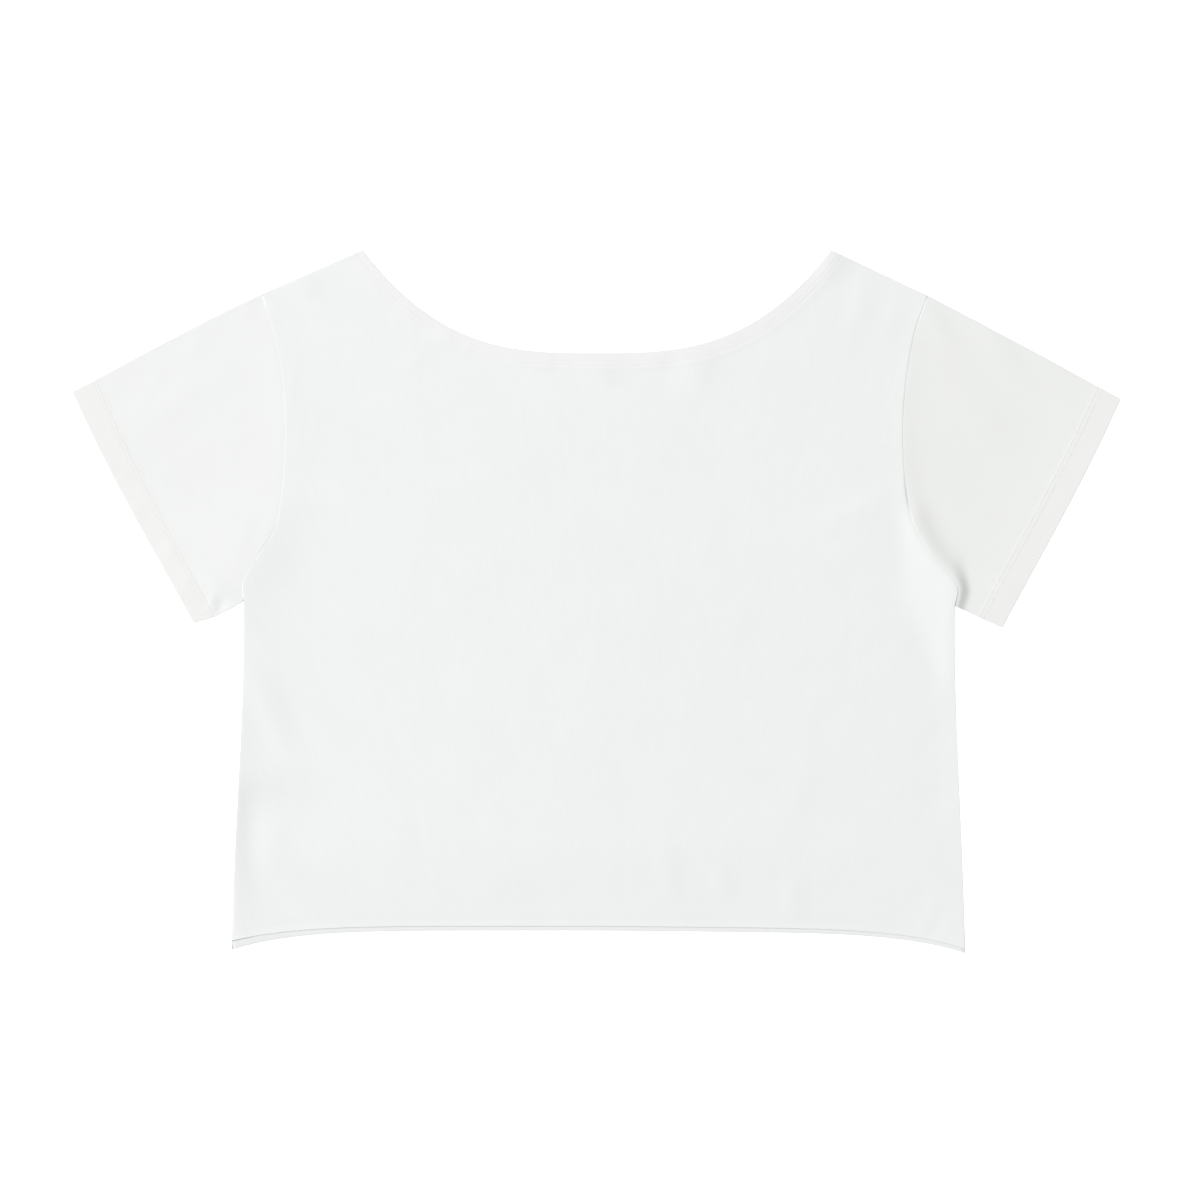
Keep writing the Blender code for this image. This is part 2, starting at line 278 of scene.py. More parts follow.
@dataclass(frozen=True)
class TurnedHem:
    """A hem turned once to the inside and sewn down by a twin needle.

    depth is how far the turned ply reaches in from the edge, at the hem's low and high end. The inner row of
    stitches runs inner_row from the turned ply's edge, and the outer one row_spacing nearer the hem's edge.
    The inner row sinks in by row_sink, and the outer one by the share outer_sink of that. Between the edge
    and rows_reach from the turned ply's edge, the stations are about spacing apart.
    """

    depth: tuple[float, float]
    inner_row: float
    row_spacing: float = 3.15 * MM
    tunnel_rise: float = 0.015 * MM
    row_sink: float = 0.05 * MM
    outer_sink: float = 0.2
    row_width: float = 0.45 * MM
    relief_reach: float = 3 * MM
    step_width: float = 1.6 * MM
    rows_reach: float = 8 * MM
    spacing: float = 1.6 * MM

    def stations(self) -> Array:
        """The rows of stations along the hem, two of which are the rows of stitches.

        Returns:
            Pairs of distances from the edge, at the hem's low and high end, from the edge inwards.
        """
        rim = np.array([0.0, 0.02, 0.06, 0.12, 0.19, 0.27, 0.36, 0.7, 1.3, 2.1]) * MM
        near_outer_row = np.array([-0.9, -0.45, 0.0, 0.45, 0.95, 1.58, 2.2, 2.7]) * MM
        near_inner_row = np.array([0.0, 0.45, 0.9]) * MM
        beyond = np.array([0.6, 1.3]) * MM
        outer_row = self.inner_row + self.row_spacing
        from_ply = np.concatenate([outer_row - near_outer_row, self.inner_row - near_inner_row])
        count = 2 + round((min(self.depth) - self.rows_reach) / self.spacing)
        pairs = []
        for depth in self.depth:
            rows = depth - from_ply
            between = np.linspace(rim[-1], rows[0], count)[1:-1]
            tail = np.linspace(rows[-1], depth, 3)[1:]
            pairs.append(np.concatenate([rim, between, rows, tail, depth + beyond]))
        return np.stack(pairs, axis=1)

    def row_numbers(self) -> tuple[int, int]:
        """Which of the stations carry the stitches.

        Returns:
            The numbers of the outer and the inner row.
        """
        stations = self.stations()[:, 0]
        wanted = self.depth[0] - self.inner_row - np.array([self.row_spacing, 0.0])
        outer, inner = (int(np.abs(stations - place).argmin()) for place in wanted)
        return outer, inner

    def relief(self, inside: Array) -> Array:
        """The stitching's relief: two shallow grooves with a soft tunnel between them.

        Args:
            inside: How far outside the turned ply's edge each point is, towards the hem's edge.

        Returns:
            The height that the stitching adds, which is none further in than relief_reach.
        """
        from_inner = np.clip((inside - self.inner_row) / self.row_spacing, 0.0, 1.0)
        rise = self.tunnel_rise * np.sin(np.pi * from_inner) ** 2
        outer_row = self.inner_row + self.row_spacing
        for row, sink in ((self.inner_row, self.row_sink), (outer_row, self.outer_sink * self.row_sink)):
            rise = rise - sink * np.exp(-(((inside - row) / self.row_width) ** 2))
        return np.where(inside > -self.relief_reach, rise, 0.0)

    def plies(self, inside: Array) -> Array:
        """1 where the cloth is single and 2 where it is turned, with a short ramp between them."""
        return 1 + smooth_step(0.5 + inside / self.step_width)


# ---------------------------------------------------------------- the lie of the cloth


class Crease(NamedTuple):
    """A soft ridge of the cloth, or a trough where its rise is negative. Millimetres and degrees.

    It runs through (x, y) in the direction turn, from +X. length is how far it reaches along that direction
    before it has faded to about a third, and left and right are the same for its flanks on those sides.
    """

    x: float
    y: float
    turn: float
    length: float
    left: float
    right: float
    rise: float

    def heights(self, plan: Array) -> Array:
        """The crease's relief.

        Args:
            plan: Points, with x and y in the last axis.

        Returns:
            The height that it adds at each point.
        """
        turn = math.radians(self.turn)
        offset = plan / MM - (self.x, self.y)
        along = offset @ (math.cos(turn), math.sin(turn))
        across = offset @ (math.sin(turn), -math.cos(turn))
        spread = np.where(across > 0, self.right, self.left)
        return self.rise * MM * np.exp(-((along / self.length) ** 2) - (across / spread) ** 2)


class Facet(NamedTuple):
    """A flat facet of cloth between fold lines. Millimetres and degrees.

    Each line is a point (x, y) on it and its direction. The cloth rises by slope to the right of all the
    lines, and soft is how far from a line it bends.
    """

    lines: tuple[tuple[float, float, float], ...]
    slope: float
    soft: float

    def heights(self, plan: Array) -> Array:
        """The facet's relief.

        Args:
            plan: Points, with x and y in the last axis.

        Returns:
            The height that it adds at each point.
        """
        rise = np.full(plan.shape[:-1], np.inf)
        for x, y, turn in self.lines:
            across = (math.sin(math.radians(turn)), -math.cos(math.radians(turn)))
            rise = np.minimum(rise, (plan / MM - (x, y)) @ across / self.soft)
        bend = np.log1p(np.exp(np.clip(rise, *BEND_RANGE)))
        return self.slope * self.soft * bend * MM


@dataclass(frozen=True)
class MinorCreases:
    """The faint creases that washed jersey keeps, strewn over a piece and fanning out towards the neck.

    The ranges, the lengths, the spreads and the rise are in millimetres. lean is how much the creases turn
    from upright for each metre from the middle, and scatter how much they differ, in degrees.
    """

    count: int
    seed: int
    x_range: tuple[float, float]
    y_range: tuple[float, float]
    length: tuple[float, float] = (7.0, 24.0)
    spread: tuple[float, float] = (1.6, 4.0)
    rise: float = 0.030
    lean: float = 95.0
    scatter: float = 14.0

    def creases(self) -> list[Crease]:
        """Strews the creases.

        Returns:
            The creases, the same ones on each run.
        """
        chance = np.random.default_rng(self.seed)
        made = []
        for _ in range(self.count):
            x, y = chance.uniform(*self.x_range), chance.uniform(*self.y_range)
            turn = 90.0 - self.lean * x * MM + chance.normal(0.0, self.scatter)
            length = chance.uniform(*self.length)
            left, right = chance.uniform(*self.spread, 2)
            made.append(Crease(x, y, turn, length, left, right, chance.uniform(-self.rise, self.rise)))
        return made


@dataclass(frozen=True)
class EdgeLie:
    """How the cloth lies along one stretch of a piece's edge, in mm by share of the stretch.

    level is the height just inside the edge and reach how far in that is felt, fading by the power fade. roll
    is the width over which the cloth turns down to the edge itself.
    """

    level: Stations
    reach: Stations
    roll: Stations
    fade: Stations = ((0.0, 1.6),)

    def at(self, share: Array) -> dict[str, Array]:
        """The edge's measures.

        Args:
            share: Shares of the stretch.

        Returns:
            Each measure by its name, at each share, in metres apart from fade.
        """
        found = {name: soft_values(share, getattr(self, name)) * MM for name in ("level", "reach", "roll")}
        found["fade"] = soft_values(share, self.fade)
        return found


# The body's creases: those of its two sides first, then down from the shoulders.
BODY_CREASES = (
    Crease(-229, -76, 112, 32, 9, 12, 0.55),
    Crease(-250, -126, 90, 15, 4, 34, 1.4),
    Crease(-255, -165, 92, 50, 3, 11, 1.5),
    Crease(-250, -45, 90, 40, 5, 42, 0.5),
    Crease(-228, -168, 84, 22, 12, 12, 0.35),
    Crease(256, -150, 92, 80, 12, 5, 0.35),
    Crease(-165, 217, -17, 44, 5, 8, 0.36),
    Crease(-205, 223, 65, 9, 16, 14, 0.50),
    Crease(-190, 203, -8, 24, 5, 6, 0.10),
    Crease(-213, 150, 85, 18, 3, 4, 0.07),
    Crease(-208, 116, 85, 14, 3, 4, 0.05),
    Crease(-198, 118, 80, 16, 3, 4, 0.07),
    Crease(-129, 168, 60, 10, 8, 7, 0.18),
    Crease(2, 160, 60, 8, 15, 12, 0.42),
    Crease(40, 168, 70, 8, 9, 8, 0.24),
    Crease(72, 162, 75, 14, 14, 9, 0.46),
    Crease(-40, 158, -30, 24, 8, 8, 0.12),
    Crease(163, 236, 65, 12, 7, 9, 0.34),
    Crease(184, 212, 78, 24, 6, 9, 0.22),
    Crease(207, 200, 72, 18, 5, 8, 0.12),
    Crease(203, 143, -30, 14, 3, 4, 0.08),
    Crease(196, 126, -35, 10, 3, 4, 0.06),
    Crease(172, 59, 22, 44, 10, 16, 0.42),
    Crease(172, 34, 22, 40, 10, 12, 0.20),
    Crease(78, 42, 80, 26, 9, 10, 0.10),
    Crease(97, -22, 75, 24, 7, 6, 0.08),
    Crease(150, -80, 78, 22, 6, 6, 0.08),
    Crease(178, -86, 70, 24, 8, 5, 0.10),
    Crease(140, -140, 62, 30, 9, 9, 0.10),
    Crease(50, -188, 100, 22, 7, 8, 0.20),
    Crease(87, -197, 100, 12, 6, 7, 0.20),
    Crease(137, -208, 95, 12, 7, 8, 0.30),
    Crease(-70, -198, 20, 22, 12, 12, 0.18),
    Crease(-137, -160, 100, 24, 9, 8, 0.10),
    Crease(-185, -185, -45, 26, 8, 8, 0.12),
    Crease(-170, -30, 115, 14, 5, 5, 0.06),
    Crease(-142, -24, 115, 12, 5, 5, 0.06),
    Crease(-122, -44, 115, 14, 5, 5, 0.06),
    Crease(231, -222, 62, 16, 4, 6, 0.12),
    Crease(243, -232, 55, 10, 4, 4, 0.12),
    Crease(-233, 209, -52, 6, 2.5, 6, -0.10),
)
RIGHT_SLEEVE_CREASES = (
    Crease(-233, 209, -52, 6, 2.5, 6, -0.16),
    Crease(-248, 46, 75, 22, 16, 6, 0.13),
    Crease(-231, 46, 72, 16, 6, 4, 0.10),
    Crease(-296, 140, 32, 34, 10, 14, 0.30),
    Crease(-312, 150, 60, 18, 6, 5, 0.12),
    Crease(-282, 178, 70, 12, 6, 6, 0.12),
    Crease(-266, 13, -35, 12, 4, 5, 0.25),
    Crease(-269, 1, 75, 6, 3, 3, 0.24),
    Crease(-263, -3, 60, 6, 2.5, 4, -0.30),
    Crease(-340, 93, 50, 6, 5, 4, 0.16),
    Crease(-332, 88, 50, 6, 4, 4, 0.12),
    Crease(-322, 64, 60, 8, 6, 6, 0.16),
    Crease(-298, 36, 60, 9, 6, 7, 0.18),
    Crease(-288, 12, 60, 8, 5, 5, 0.14),
    Crease(-245, 203, 85, 8, 3, 4, 0.12),
)
LEFT_SLEEVE_CREASES = (
    Crease(238, 194, -55, 20, 6, 9, 0.34),
    Crease(281, 180, -48, 20, 8, 12, 0.36),
    Crease(312, 172, -30, 16, 6, 8, 0.14),
    Crease(268, 132, -35, 26, 14, 16, 0.30),
    Crease(330, 130, -30, 14, 8, 8, 0.10),
    Crease(303, 62, -20, 16, 6, 7, 0.12),
    Crease(322, 88, -25, 10, 5, 6, 0.10),
    Crease(286, 10, -35, 12, 6, 8, 0.20),
)
# The layer that rests on the surface, not seen from above.
UNDER_CREASES = (
    Crease(-150, 120, 118, 60, 14, 10, 0.30),
    Crease(-40, 60, 104, 80, 18, 12, 0.26),
    Crease(90, 100, 72, 70, 12, 16, 0.30),
    Crease(170, -20, 64, 80, 14, 12, 0.32),
    Crease(30, -90, 84, 60, 16, 14, 0.24),
    Crease(-120, -110, 102, 70, 12, 16, 0.30),
    Crease(-215, -20, 110, 40, 10, 12, 0.30),
    Crease(215, -150, 80, 50, 12, 10, 0.26),
    Crease(110, -190, 30, 40, 10, 12, 0.22),
    Crease(-60, -200, -24, 50, 10, 12, 0.22),
    Crease(-285, 90, 150, 44, 12, 10, 0.28),
    Crease(290, 80, 30, 44, 10, 12, 0.28),
)


@dataclass(frozen=True)
class Lie:
    """The heights of the garment's layers, in metres.

    The upper layer rests on the lower one with a little air, loft, between them. flat and doubled are the
    heights of its outer face where it is single and at the neck's turned hem. Its crown is highest at the
    middle of the body, and underarm is a facet that stands up from the wearer's left underarm. mid and
    doubled_mid are the heights at which the two layers meet, at a side seam or a fold, where they are single
    and turned.

    Near its cut hem the front sinks to at_hem, with a dip and then a curl at its very edge. Its wall thins
    there from below by the share hem_thinning, so that it lies on the back. The back's hem lies over a low
    ridge.

    The roundings say how far a wall's two faces meet in the middle at a turned fold and at a cut edge.
    """

    ply: float = 0.95 * MM
    flat: float = 2.2 * MM
    doubled: float = 3.9 * MM
    loft: float = 1.2 * MM
    crown: float = 0.6 * MM
    crown_half_width: float = 0.262
    mid: float = 1.35 * MM
    doubled_mid: float = 1.95 * MM
    at_hem: float = 2.15 * MM
    hem_fall: float = 0.060
    hem_dip: float = 0.15 * MM
    hem_dip_width: float = 6 * MM
    hem_curl: float = 0.08 * MM
    hem_curl_width: float = 4.5 * MM
    hem_thinning: float = 0.6
    hem_thin_width: float = 20 * MM
    back_hem_lift: float = 0.65 * MM
    back_hem_ridge: float = 6 * MM
    back_hem_width: float = 5 * MM
    back_roll: float = 0.5 * MM
    cut_edge_width: float = 0.15 * MM
    cut_rounding: float = 0.2
    fold_width: float = 0.2 * MM
    turned_fold_width: float = 0.3 * MM
    fold_rounding: float = 0.94
    underside: float = 0.12 * MM
    groove: float = 0.03 * MM
    lower_groove: float = 0.5 * MM
    sleeve_at_armhole: float = 3.6 * MM
    sleeve_at_cuff: float = 3.7 * MM
    sleeve_under_roll: float = 0.8 * MM
    cuff_step: float = 0.05 * MM
    cuff_fall: float = 16 * MM
    underarm: Facet = Facet(lines=((217, 0, 93), (217, 0, 115), (213, 88, 0)), slope=0.07, soft=2.0)
    body_creases: tuple[Crease, ...] = BODY_CREASES
    right_sleeve_creases: tuple[Crease, ...] = RIGHT_SLEEVE_CREASES
    left_sleeve_creases: tuple[Crease, ...] = LEFT_SLEEVE_CREASES
    under_creases: tuple[Crease, ...] = UNDER_CREASES


# ---------------------------------------------------------------- the cut


class Wearer(Enum):
    """A side of the garment, as its wearer has it. The value is its direction along X."""

    RIGHT = -1
    LEFT = 1


@dataclass(frozen=True)
class Half:
    """The cut, the seams and the lie of the edges of one half of the garment.

    Places are pairs of the distance from the centre line and the height in plan. hem_out is where the hem
    meets the side seam. The hem runs down to there by hem_tilt in a straight line and by hem_drop in a curve,
    and the front panel is front_lift shorter still there. fold_bow, low_bow and cuff_bow are how far the
    sleeve's upper fold, its lower fold and its cuff bow out. hollow is the broad hollow over the sleeve.
    """

    side: Wearer
    hem_out: float
    hem_tilt: float
    hem_drop: float
    hem_power: float
    front_lift: float
    armhole: tuple[tuple[float, float], ...]
    cuff_low: tuple[float, float]
    cuff_high: tuple[float, float]
    fold_bow: float
    low_bow: float
    cuff_bow: float
    cuff_hem: TurnedHem
    hollow: Crease
    side_lie: EdgeLie
    panel_lie: EdgeLie
    sleeve_lie: EdgeLie
    shoulder_lie: EdgeLie

    def bowed(self, across: Array) -> Array:
        """How far the cuff bows out at shares across it, from the lower fold to the upper one."""
        return self.cuff_bow * np.sin(np.pi * across**CUFF_BOW_SKEW)

    def place(self, pair: tuple[float, float]) -> Array:
        """A place as an (x, y) point."""
        return np.array([self.side.value * pair[0], pair[1]])

    def armhole_at(self, shares: Array) -> Array:
        """Points of the armhole seam, by share from the underarm to the shoulder point."""
        return points_along(smooth_curve(np.array([self.place(pair) for pair in self.armhole])), shares)


RIGHT = Half(
    side=Wearer.RIGHT,
    hem_out=0.2559,
    hem_tilt=0.0,
    hem_drop=0.0135,
    hem_power=6.0,
    front_lift=0.0030,
    armhole=(
        (0.2470, 0.0005),
        (0.2470, 0.0150),
        (0.2360, 0.0340),
        (0.2240, 0.0560),
        (0.2186, 0.1000),
        (0.2190, 0.1450),
        (0.2246, 0.1810),
        (0.2340, 0.2155),
    ),
    cuff_low=(0.2822, -0.0150),
    cuff_high=(0.3670, 0.1467),
    fold_bow=0.0009,
    low_bow=0.0020,
    cuff_bow=0.0022,
    cuff_hem=TurnedHem(depth=(16.8 * MM, 20.7 * MM), inner_row=1.4 * MM, row_sink=0.09 * MM),
    hollow=Crease(-300, 110, 118, 70, 45, 50, -0.25),
    side_lie=EdgeLie(
        level=((0.0, 2.05), (0.3, 3.2), (0.45, 3.8), (0.6, 4.4), (0.72, 4.2), (0.85, 3.9), (1.0, 4.4)),
        reach=((0.0, 14), (1.0, 20)),
        roll=((0.0, 0.3),),
    ),
    panel_lie=EdgeLie(
        level=(
            *((0.0, 4.4), (0.06, 4.9), (0.12, 5.05), (0.2, 4.95), (0.32, 4.4)),
            *((0.45, 4.0), (0.8, 4.0), (0.95, 3.9), (1.0, 3.6)),
        ),
        reach=((0.0, 24), (0.3, 20), (0.45, 22), (1.0, 16)),
        roll=((0.0, 0.3), (0.4, 0.9), (0.9, 0.9), (1.0, 0.3)),
    ),
    sleeve_lie=EdgeLie(
        level=(
            *((0.0, 4.3), (0.06, 4.87), (0.12, 5.02), (0.2, 4.92), (0.32, 4.36)),
            *((0.45, 3.95), (0.8, 3.95), (0.95, 3.85), (1.0, 3.5)),
        ),
        reach=((0.0, 60), (0.2, 56), (0.35, 30), (0.5, 14), (1.0, 12)),
        roll=((0.0, 0.3),),
    ),
    shoulder_lie=EdgeLie(level=((0.0, 3.6), (0.7, 3.8), (1.0, 4.0)), reach=((0.0, 14),), roll=((0.0, 0.3),)),
)
LEFT = Half(
    side=Wearer.LEFT,
    hem_out=0.2580,
    hem_tilt=0.0025,
    hem_drop=0.0133,
    hem_power=6.0,
    front_lift=0.0,
    armhole=(
        (0.2510, -0.0030),
        (0.2520, 0.0120),
        (0.2340, 0.0330),
        (0.2195, 0.0620),
        (0.2147, 0.1060),
        (0.2160, 0.1480),
        (0.2222, 0.1860),
        (0.2318, 0.2140),
    ),
    cuff_low=(0.2839, -0.0186),
    cuff_high=(0.3670, 0.1418),
    fold_bow=0.0005,
    low_bow=0.0003,
    cuff_bow=0.0018,
    cuff_hem=TurnedHem(
        depth=(19.2 * MM, 19.2 * MM),
        inner_row=1.2 * MM,
        tunnel_rise=0.008 * MM,
        row_sink=0.006 * MM,
    ),
    hollow=Crease(296, 100, 62, 110, 75, 55, -1.20),
    side_lie=EdgeLie(
        level=((0.0, 2.3), (0.3, 3.3), (0.7, 3.6), (0.77, 3.85), (0.85, 4.4), (0.93, 5.0), (1.0, 5.5)),
        reach=((0.0, 14), (0.7, 10), (1.0, 6)),
        roll=((0.0, 0.3),),
    ),
    panel_lie=EdgeLie(
        level=(
            *((0.0, 5.5), (0.065, 5.95), (0.13, 5.4), (0.19, 5.0), (0.25, 4.7), (0.31, 4.4)),
            *((0.36, 3.85), (0.45, 3.7), (0.8, 3.74), (1.0, 3.68)),
        ),
        reach=((0.0, 6),),
        roll=((0.0, 0.3), (0.1, 1.0), (0.9, 1.0), (1.0, 0.3)),
    ),
    sleeve_lie=EdgeLie(
        level=(
            *((0.0, 5.1), (0.065, 5.7), (0.13, 5.35), (0.19, 5.05), (0.25, 4.75), (0.31, 4.6)),
            *((0.345, 4.0), (0.37, 3.62), (0.45, 3.57), (0.8, 3.6), (1.0, 3.5)),
        ),
        reach=((0.0, 5), (0.07, 5.5), (0.12, 9.5), (0.33, 10), (0.45, 8), (1.0, 8)),
        roll=((0.0, 0.3),),
        fade=((0.0, 2.4), (0.07, 2.4), (0.12, 2.0), (0.33, 2.4), (0.45, 1.5), (1.0, 1.5)),
    ),
    shoulder_lie=EdgeLie(
        level=((0.0, 3.6), (0.3, 3.3), (0.7, 3.2), (1.0, 3.8)),
        reach=((0.0, 12),),
        roll=((0.0, 0.3),),
    ),
)


@dataclass(frozen=True)
class Cut:
    """The plan of the four pieces as they lie, and the grids of stations over them.

    The neck is a wide scoop, whose depth below its two corners falls off with a power of the distance from
    the middle. The bottom hem is straight in the middle and runs down towards the side seams, which are drawn
    in by side_bow. rim and hem_rim are the first stations in from an edge, in mm.
    """

    right: Half = RIGHT
    left: Half = LEFT
    neck_half_width: float = 0.1640
    neck_corner_level: float = 0.2461
    neck_depth: float = 0.0721
    neck_power: float = 3.0
    neck_hem: TurnedHem = TurnedHem(depth=(11.0 * MM, 11.0 * MM), inner_row=2.2 * MM)
    hem_level: float = -0.2303
    side_bow: float = 0.0015
    front_shorter: float = 0.0032
    rim: tuple[float, ...] = RIM
    hem_rim: tuple[float, ...] = (0.0, 0.05, 0.15, 0.4, 0.9, 1.6, 2.4, 3.2, 4.1, 5.1, 6.3, 7.8, 9.6)

    def neck(self, shares: Array) -> Array:
        """The neck edge.

        Args:
            shares: Shares of its length, from the wearer's right corner to the left one.

        Returns:
            A plan point for each share.
        """
        x = np.linspace(-self.neck_half_width, self.neck_half_width, 8 * CURVE_SAMPLES + 1)
        depth = self.neck_depth * (1 - np.abs(x / self.neck_half_width) ** self.neck_power)
        return points_along(np.stack([x, self.neck_corner_level - depth], axis=1), shares)

    def hem(self, shares: Array, front: bool) -> Array:
        """A panel's bottom hem.

        Args:
            shares: Shares of its width, from the right side seam to the left one.
            front: Whether it is the front panel's hem.

        Returns:
            A plan point for each share.
        """
        x = -self.right.hem_out + shares * (self.right.hem_out + self.left.hem_out)
        y = np.full(len(shares), self.hem_level + (self.front_shorter if front else 0.0))
        for half in (self.right, self.left):
            out = np.maximum(x * half.side.value, 0.0) / half.hem_out
            y -= half.hem_tilt * out
            y -= (half.hem_drop - (half.front_lift if front else 0.0)) * out**half.hem_power
        return np.stack([x, y], axis=1)


class PanelEnd(NamedTuple):
    """A panel's edge from its hem, up the side seam, round the armhole and along the shoulder to the neck.

    line holds the stations and far how far along each is. level, reach, roll and fade are as in EdgeLie, and
    height is the edge's own height.
    """


    line: Array
    far: Array
    level: Array
    reach: Array
    roll: Array
    fade: Array
    height: Array

    def near(self, plan: Array) -> Edge:
        """The edge as plan points have it.

        Args:
            plan: Points, with x and y in the last axis.

        Returns:
            How far each point is from this edge, and the edge's measures at the nearest place.
        """
        distance, place = nearest(plan, self.line)
        names = ("level", "reach", "roll", "fade", "height")
        return distance, {name: np.interp(place, self.far, getattr(self, name)) for name in names}


def drawn_to(heights: Array, level: Array, distance: Array, reach: Array, fade: Array) -> Array:
    """Heights drawn to a level near an edge, by an amount that fades with the distance from it."""
    return heights + (level - heights) * np.exp(-((distance / reach) ** fade))


def rolled_to(heights: Array, edge: Array, distance: Array, roll: Array) -> Array:
    """Heights that turn to the edge's own height over the width of the roll."""
    return edge + (heights - edge) * np.sin(np.pi / 2 * np.clip(distance / roll, 0.0, 1.0))


def softened(values: Array, far: Array, width: float = 14 * MM) -> Array:
    """Values along an edge with their jumps spread out.

    Args:
        values: One value for each station.
        far: How far along the edge each station is.
        width: How far a jump is spread to each side.

    Returns:
        The softened values.
    """
    offsets = np.linspace(-width, width, EDGE_SAMPLES)
    weights = np.hanning(EDGE_SAMPLES + 2)[1:-1]
    spread = np.stack([np.interp(far + offset, far, values) for offset in offsets])
    return weights @ spread / weights.sum()


def crease_heights(plan: Array, creases: Iterable[Crease]) -> Array:
    """The height that a set of creases adds at each plan point."""
    return sum((crease.heights(plan) for crease in creases), np.zeros(plan.shape[:-1]))


# ---------------------------------------------------------------- walls of cloth


def every_second(count: int) -> Array:
    """Every second station of a row, with the last one."""
    return np.unique(np.append(np.arange(0, count, 2), count - 1))


def grid_quads(numbers: Array) -> list[list[int]]:
    """Quads over a grid of point numbers, counter-clockwise where rows go up and columns go right."""
    corners = (numbers[:-1, :-1], numbers[:-1, 1:], numbers[1:, 1:], numbers[1:, :-1])
    return np.stack(corners, axis=-1).reshape(-1, 4).tolist()


def rim_faces(outer: Array, inner: Array, picked: Array) -> list[list[int]]:
    """Faces that close a wall along one edge.

    Args:
        outer: The outer face's point numbers along the edge, from left to right as seen from outside.
        inner: The inner face's point numbers, which has only the picked stations.
        picked: The stations that the inner face has.

    Returns:
        One face for each of the inner face's cells.
    """
    faces = []
    for at, (low, high) in enumerate(zip(picked, picked[1:])):
        faces.append([inner[at], inner[at + 1], *outer[low : high + 1][::-1]])
    return [[int(number) for number in face] for face in faces]


class Wall(NamedTuple):
    """A wall of cloth on a grid: its outer face, the way out of it, its thickness and its rim's rounding."""

    face: Array
    out: Array
    thickness: Array
    rounding: Array

    def outer(self) -> Array:
        """The outer face, rounded down towards the middle of the wall at its rim."""
        return self.face - self.out * (self.thickness * self.rounding / 2)[..., None]

    def inner(self) -> Array:
        """The inner face, rounded up towards the middle of the wall at its rim."""
        return self.face - self.out * (self.thickness * (1 - self.rounding / 2))[..., None]


def flat_wall_mesh(wall: Wall) -> tuple[Array, list[list[int]], Array]:
    """The closed mesh of a panel's wall, whose inner face has every second station.

    Args:
        wall: The wall, with its outer face up where rows go up and columns go right.

    Returns:
        The points, the faces, and each point's station in the grid.
    """
    rows, columns = wall.face.shape[:2]
    numbers = np.arange(rows * columns).reshape(rows, columns)
    up, across = every_second(rows), every_second(columns)
    below = np.arange(len(up) * len(across)).reshape(len(up), len(across)) + rows * columns
    faces = grid_quads(numbers) + grid_quads(below[:, ::-1])
    faces += rim_faces(numbers[0], below[0], across)
    faces += [face[::-1] for face in rim_faces(numbers[-1], below[-1], across)]
    faces += [face[::-1] for face in rim_faces(numbers[:, 0], below[:, 0], up)]
    faces += rim_faces(numbers[:, -1], below[:, -1], up)
    picked = numbers[np.ix_(up, across)]
    points = np.vstack([wall.outer().reshape(-1, 3), wall.inner().reshape(-1, 3)[picked.ravel()]])
    return points, faces, np.concatenate([numbers.ravel(), picked.ravel()])


def tube_wall_mesh(wall: Wall) -> tuple[Array, list[list[int]], Array]:
    """The closed mesh of a tube's wall, whose columns go round it.

    Args:
        wall: The wall, with its outer face outwards where rows go up and columns go right.

    Returns:
        The points, the faces, and each point's station in the grid.
    """
    rows, columns = wall.face.shape[:2]
    numbers = np.arange(rows * columns).reshape(rows, columns)
    outside = np.column_stack([numbers, numbers[:, 0]])
    inside = outside + rows * columns
    faces = grid_quads(outside) + grid_quads(inside[:, ::-1])
    faces += grid_quads(np.stack([inside[0], outside[0]])) + grid_quads(np.stack([outside[-1], inside[-1]]))
    points = np.vstack([wall.outer().reshape(-1, 3), wall.inner().reshape(-1, 3)])
    return points, faces, np.tile(numbers.ravel(), 2)


def add_cloth(name: str, points: Array, faces: list[list[int]], uv: Array, turned: Array) -> bpy.types.Object:
    """Links a piece of cloth to the scene, smooth shaded, with its own map of the cloth.

    Args:
        name: The piece's name.
        points: Its points.
        faces: Its faces, as point numbers.
        uv: Each point's place in the flat cloth, in metres along its courses and its wales.
        turned: For each point, 1 where the cloth is a turned hem and 0 where it is single.

    Returns:
        The new object.
    """
    mesh = bpy.data.meshes.new(name)
    mesh.from_pydata(points.tolist(), [], faces)
    mesh.shade_smooth()
    mesh.set_sharp_from_angle(angle=SHARP)
    corners = np.empty(len(mesh.loops), dtype=np.int32)
    mesh.loops.foreach_get("vertex_index", corners)
    mesh.uv_layers.new(name=UV_MAP).data.foreach_set("uv", uv[corners].ravel())
    mesh.attributes.new(TURNED, "FLOAT", "POINT").data.foreach_set("value", turned)
    return add_object(name, mesh)


def outline_of(plan: Array) -> Array:
    """The closed outline of a grid of stations in plan."""
    return np.vstack([plan[0], plan[:, -1], plan[-1, ::-1], plan[::-1, 0]])


def plan_area(outline: Array) -> float:
    """The area inside a closed plan outline."""
    x, y = outline.T
    return abs(float(x @ np.roll(y, -1) - y @ np.roll(x, -1))) / 2


# ---------------------------------------------------------------- finishes


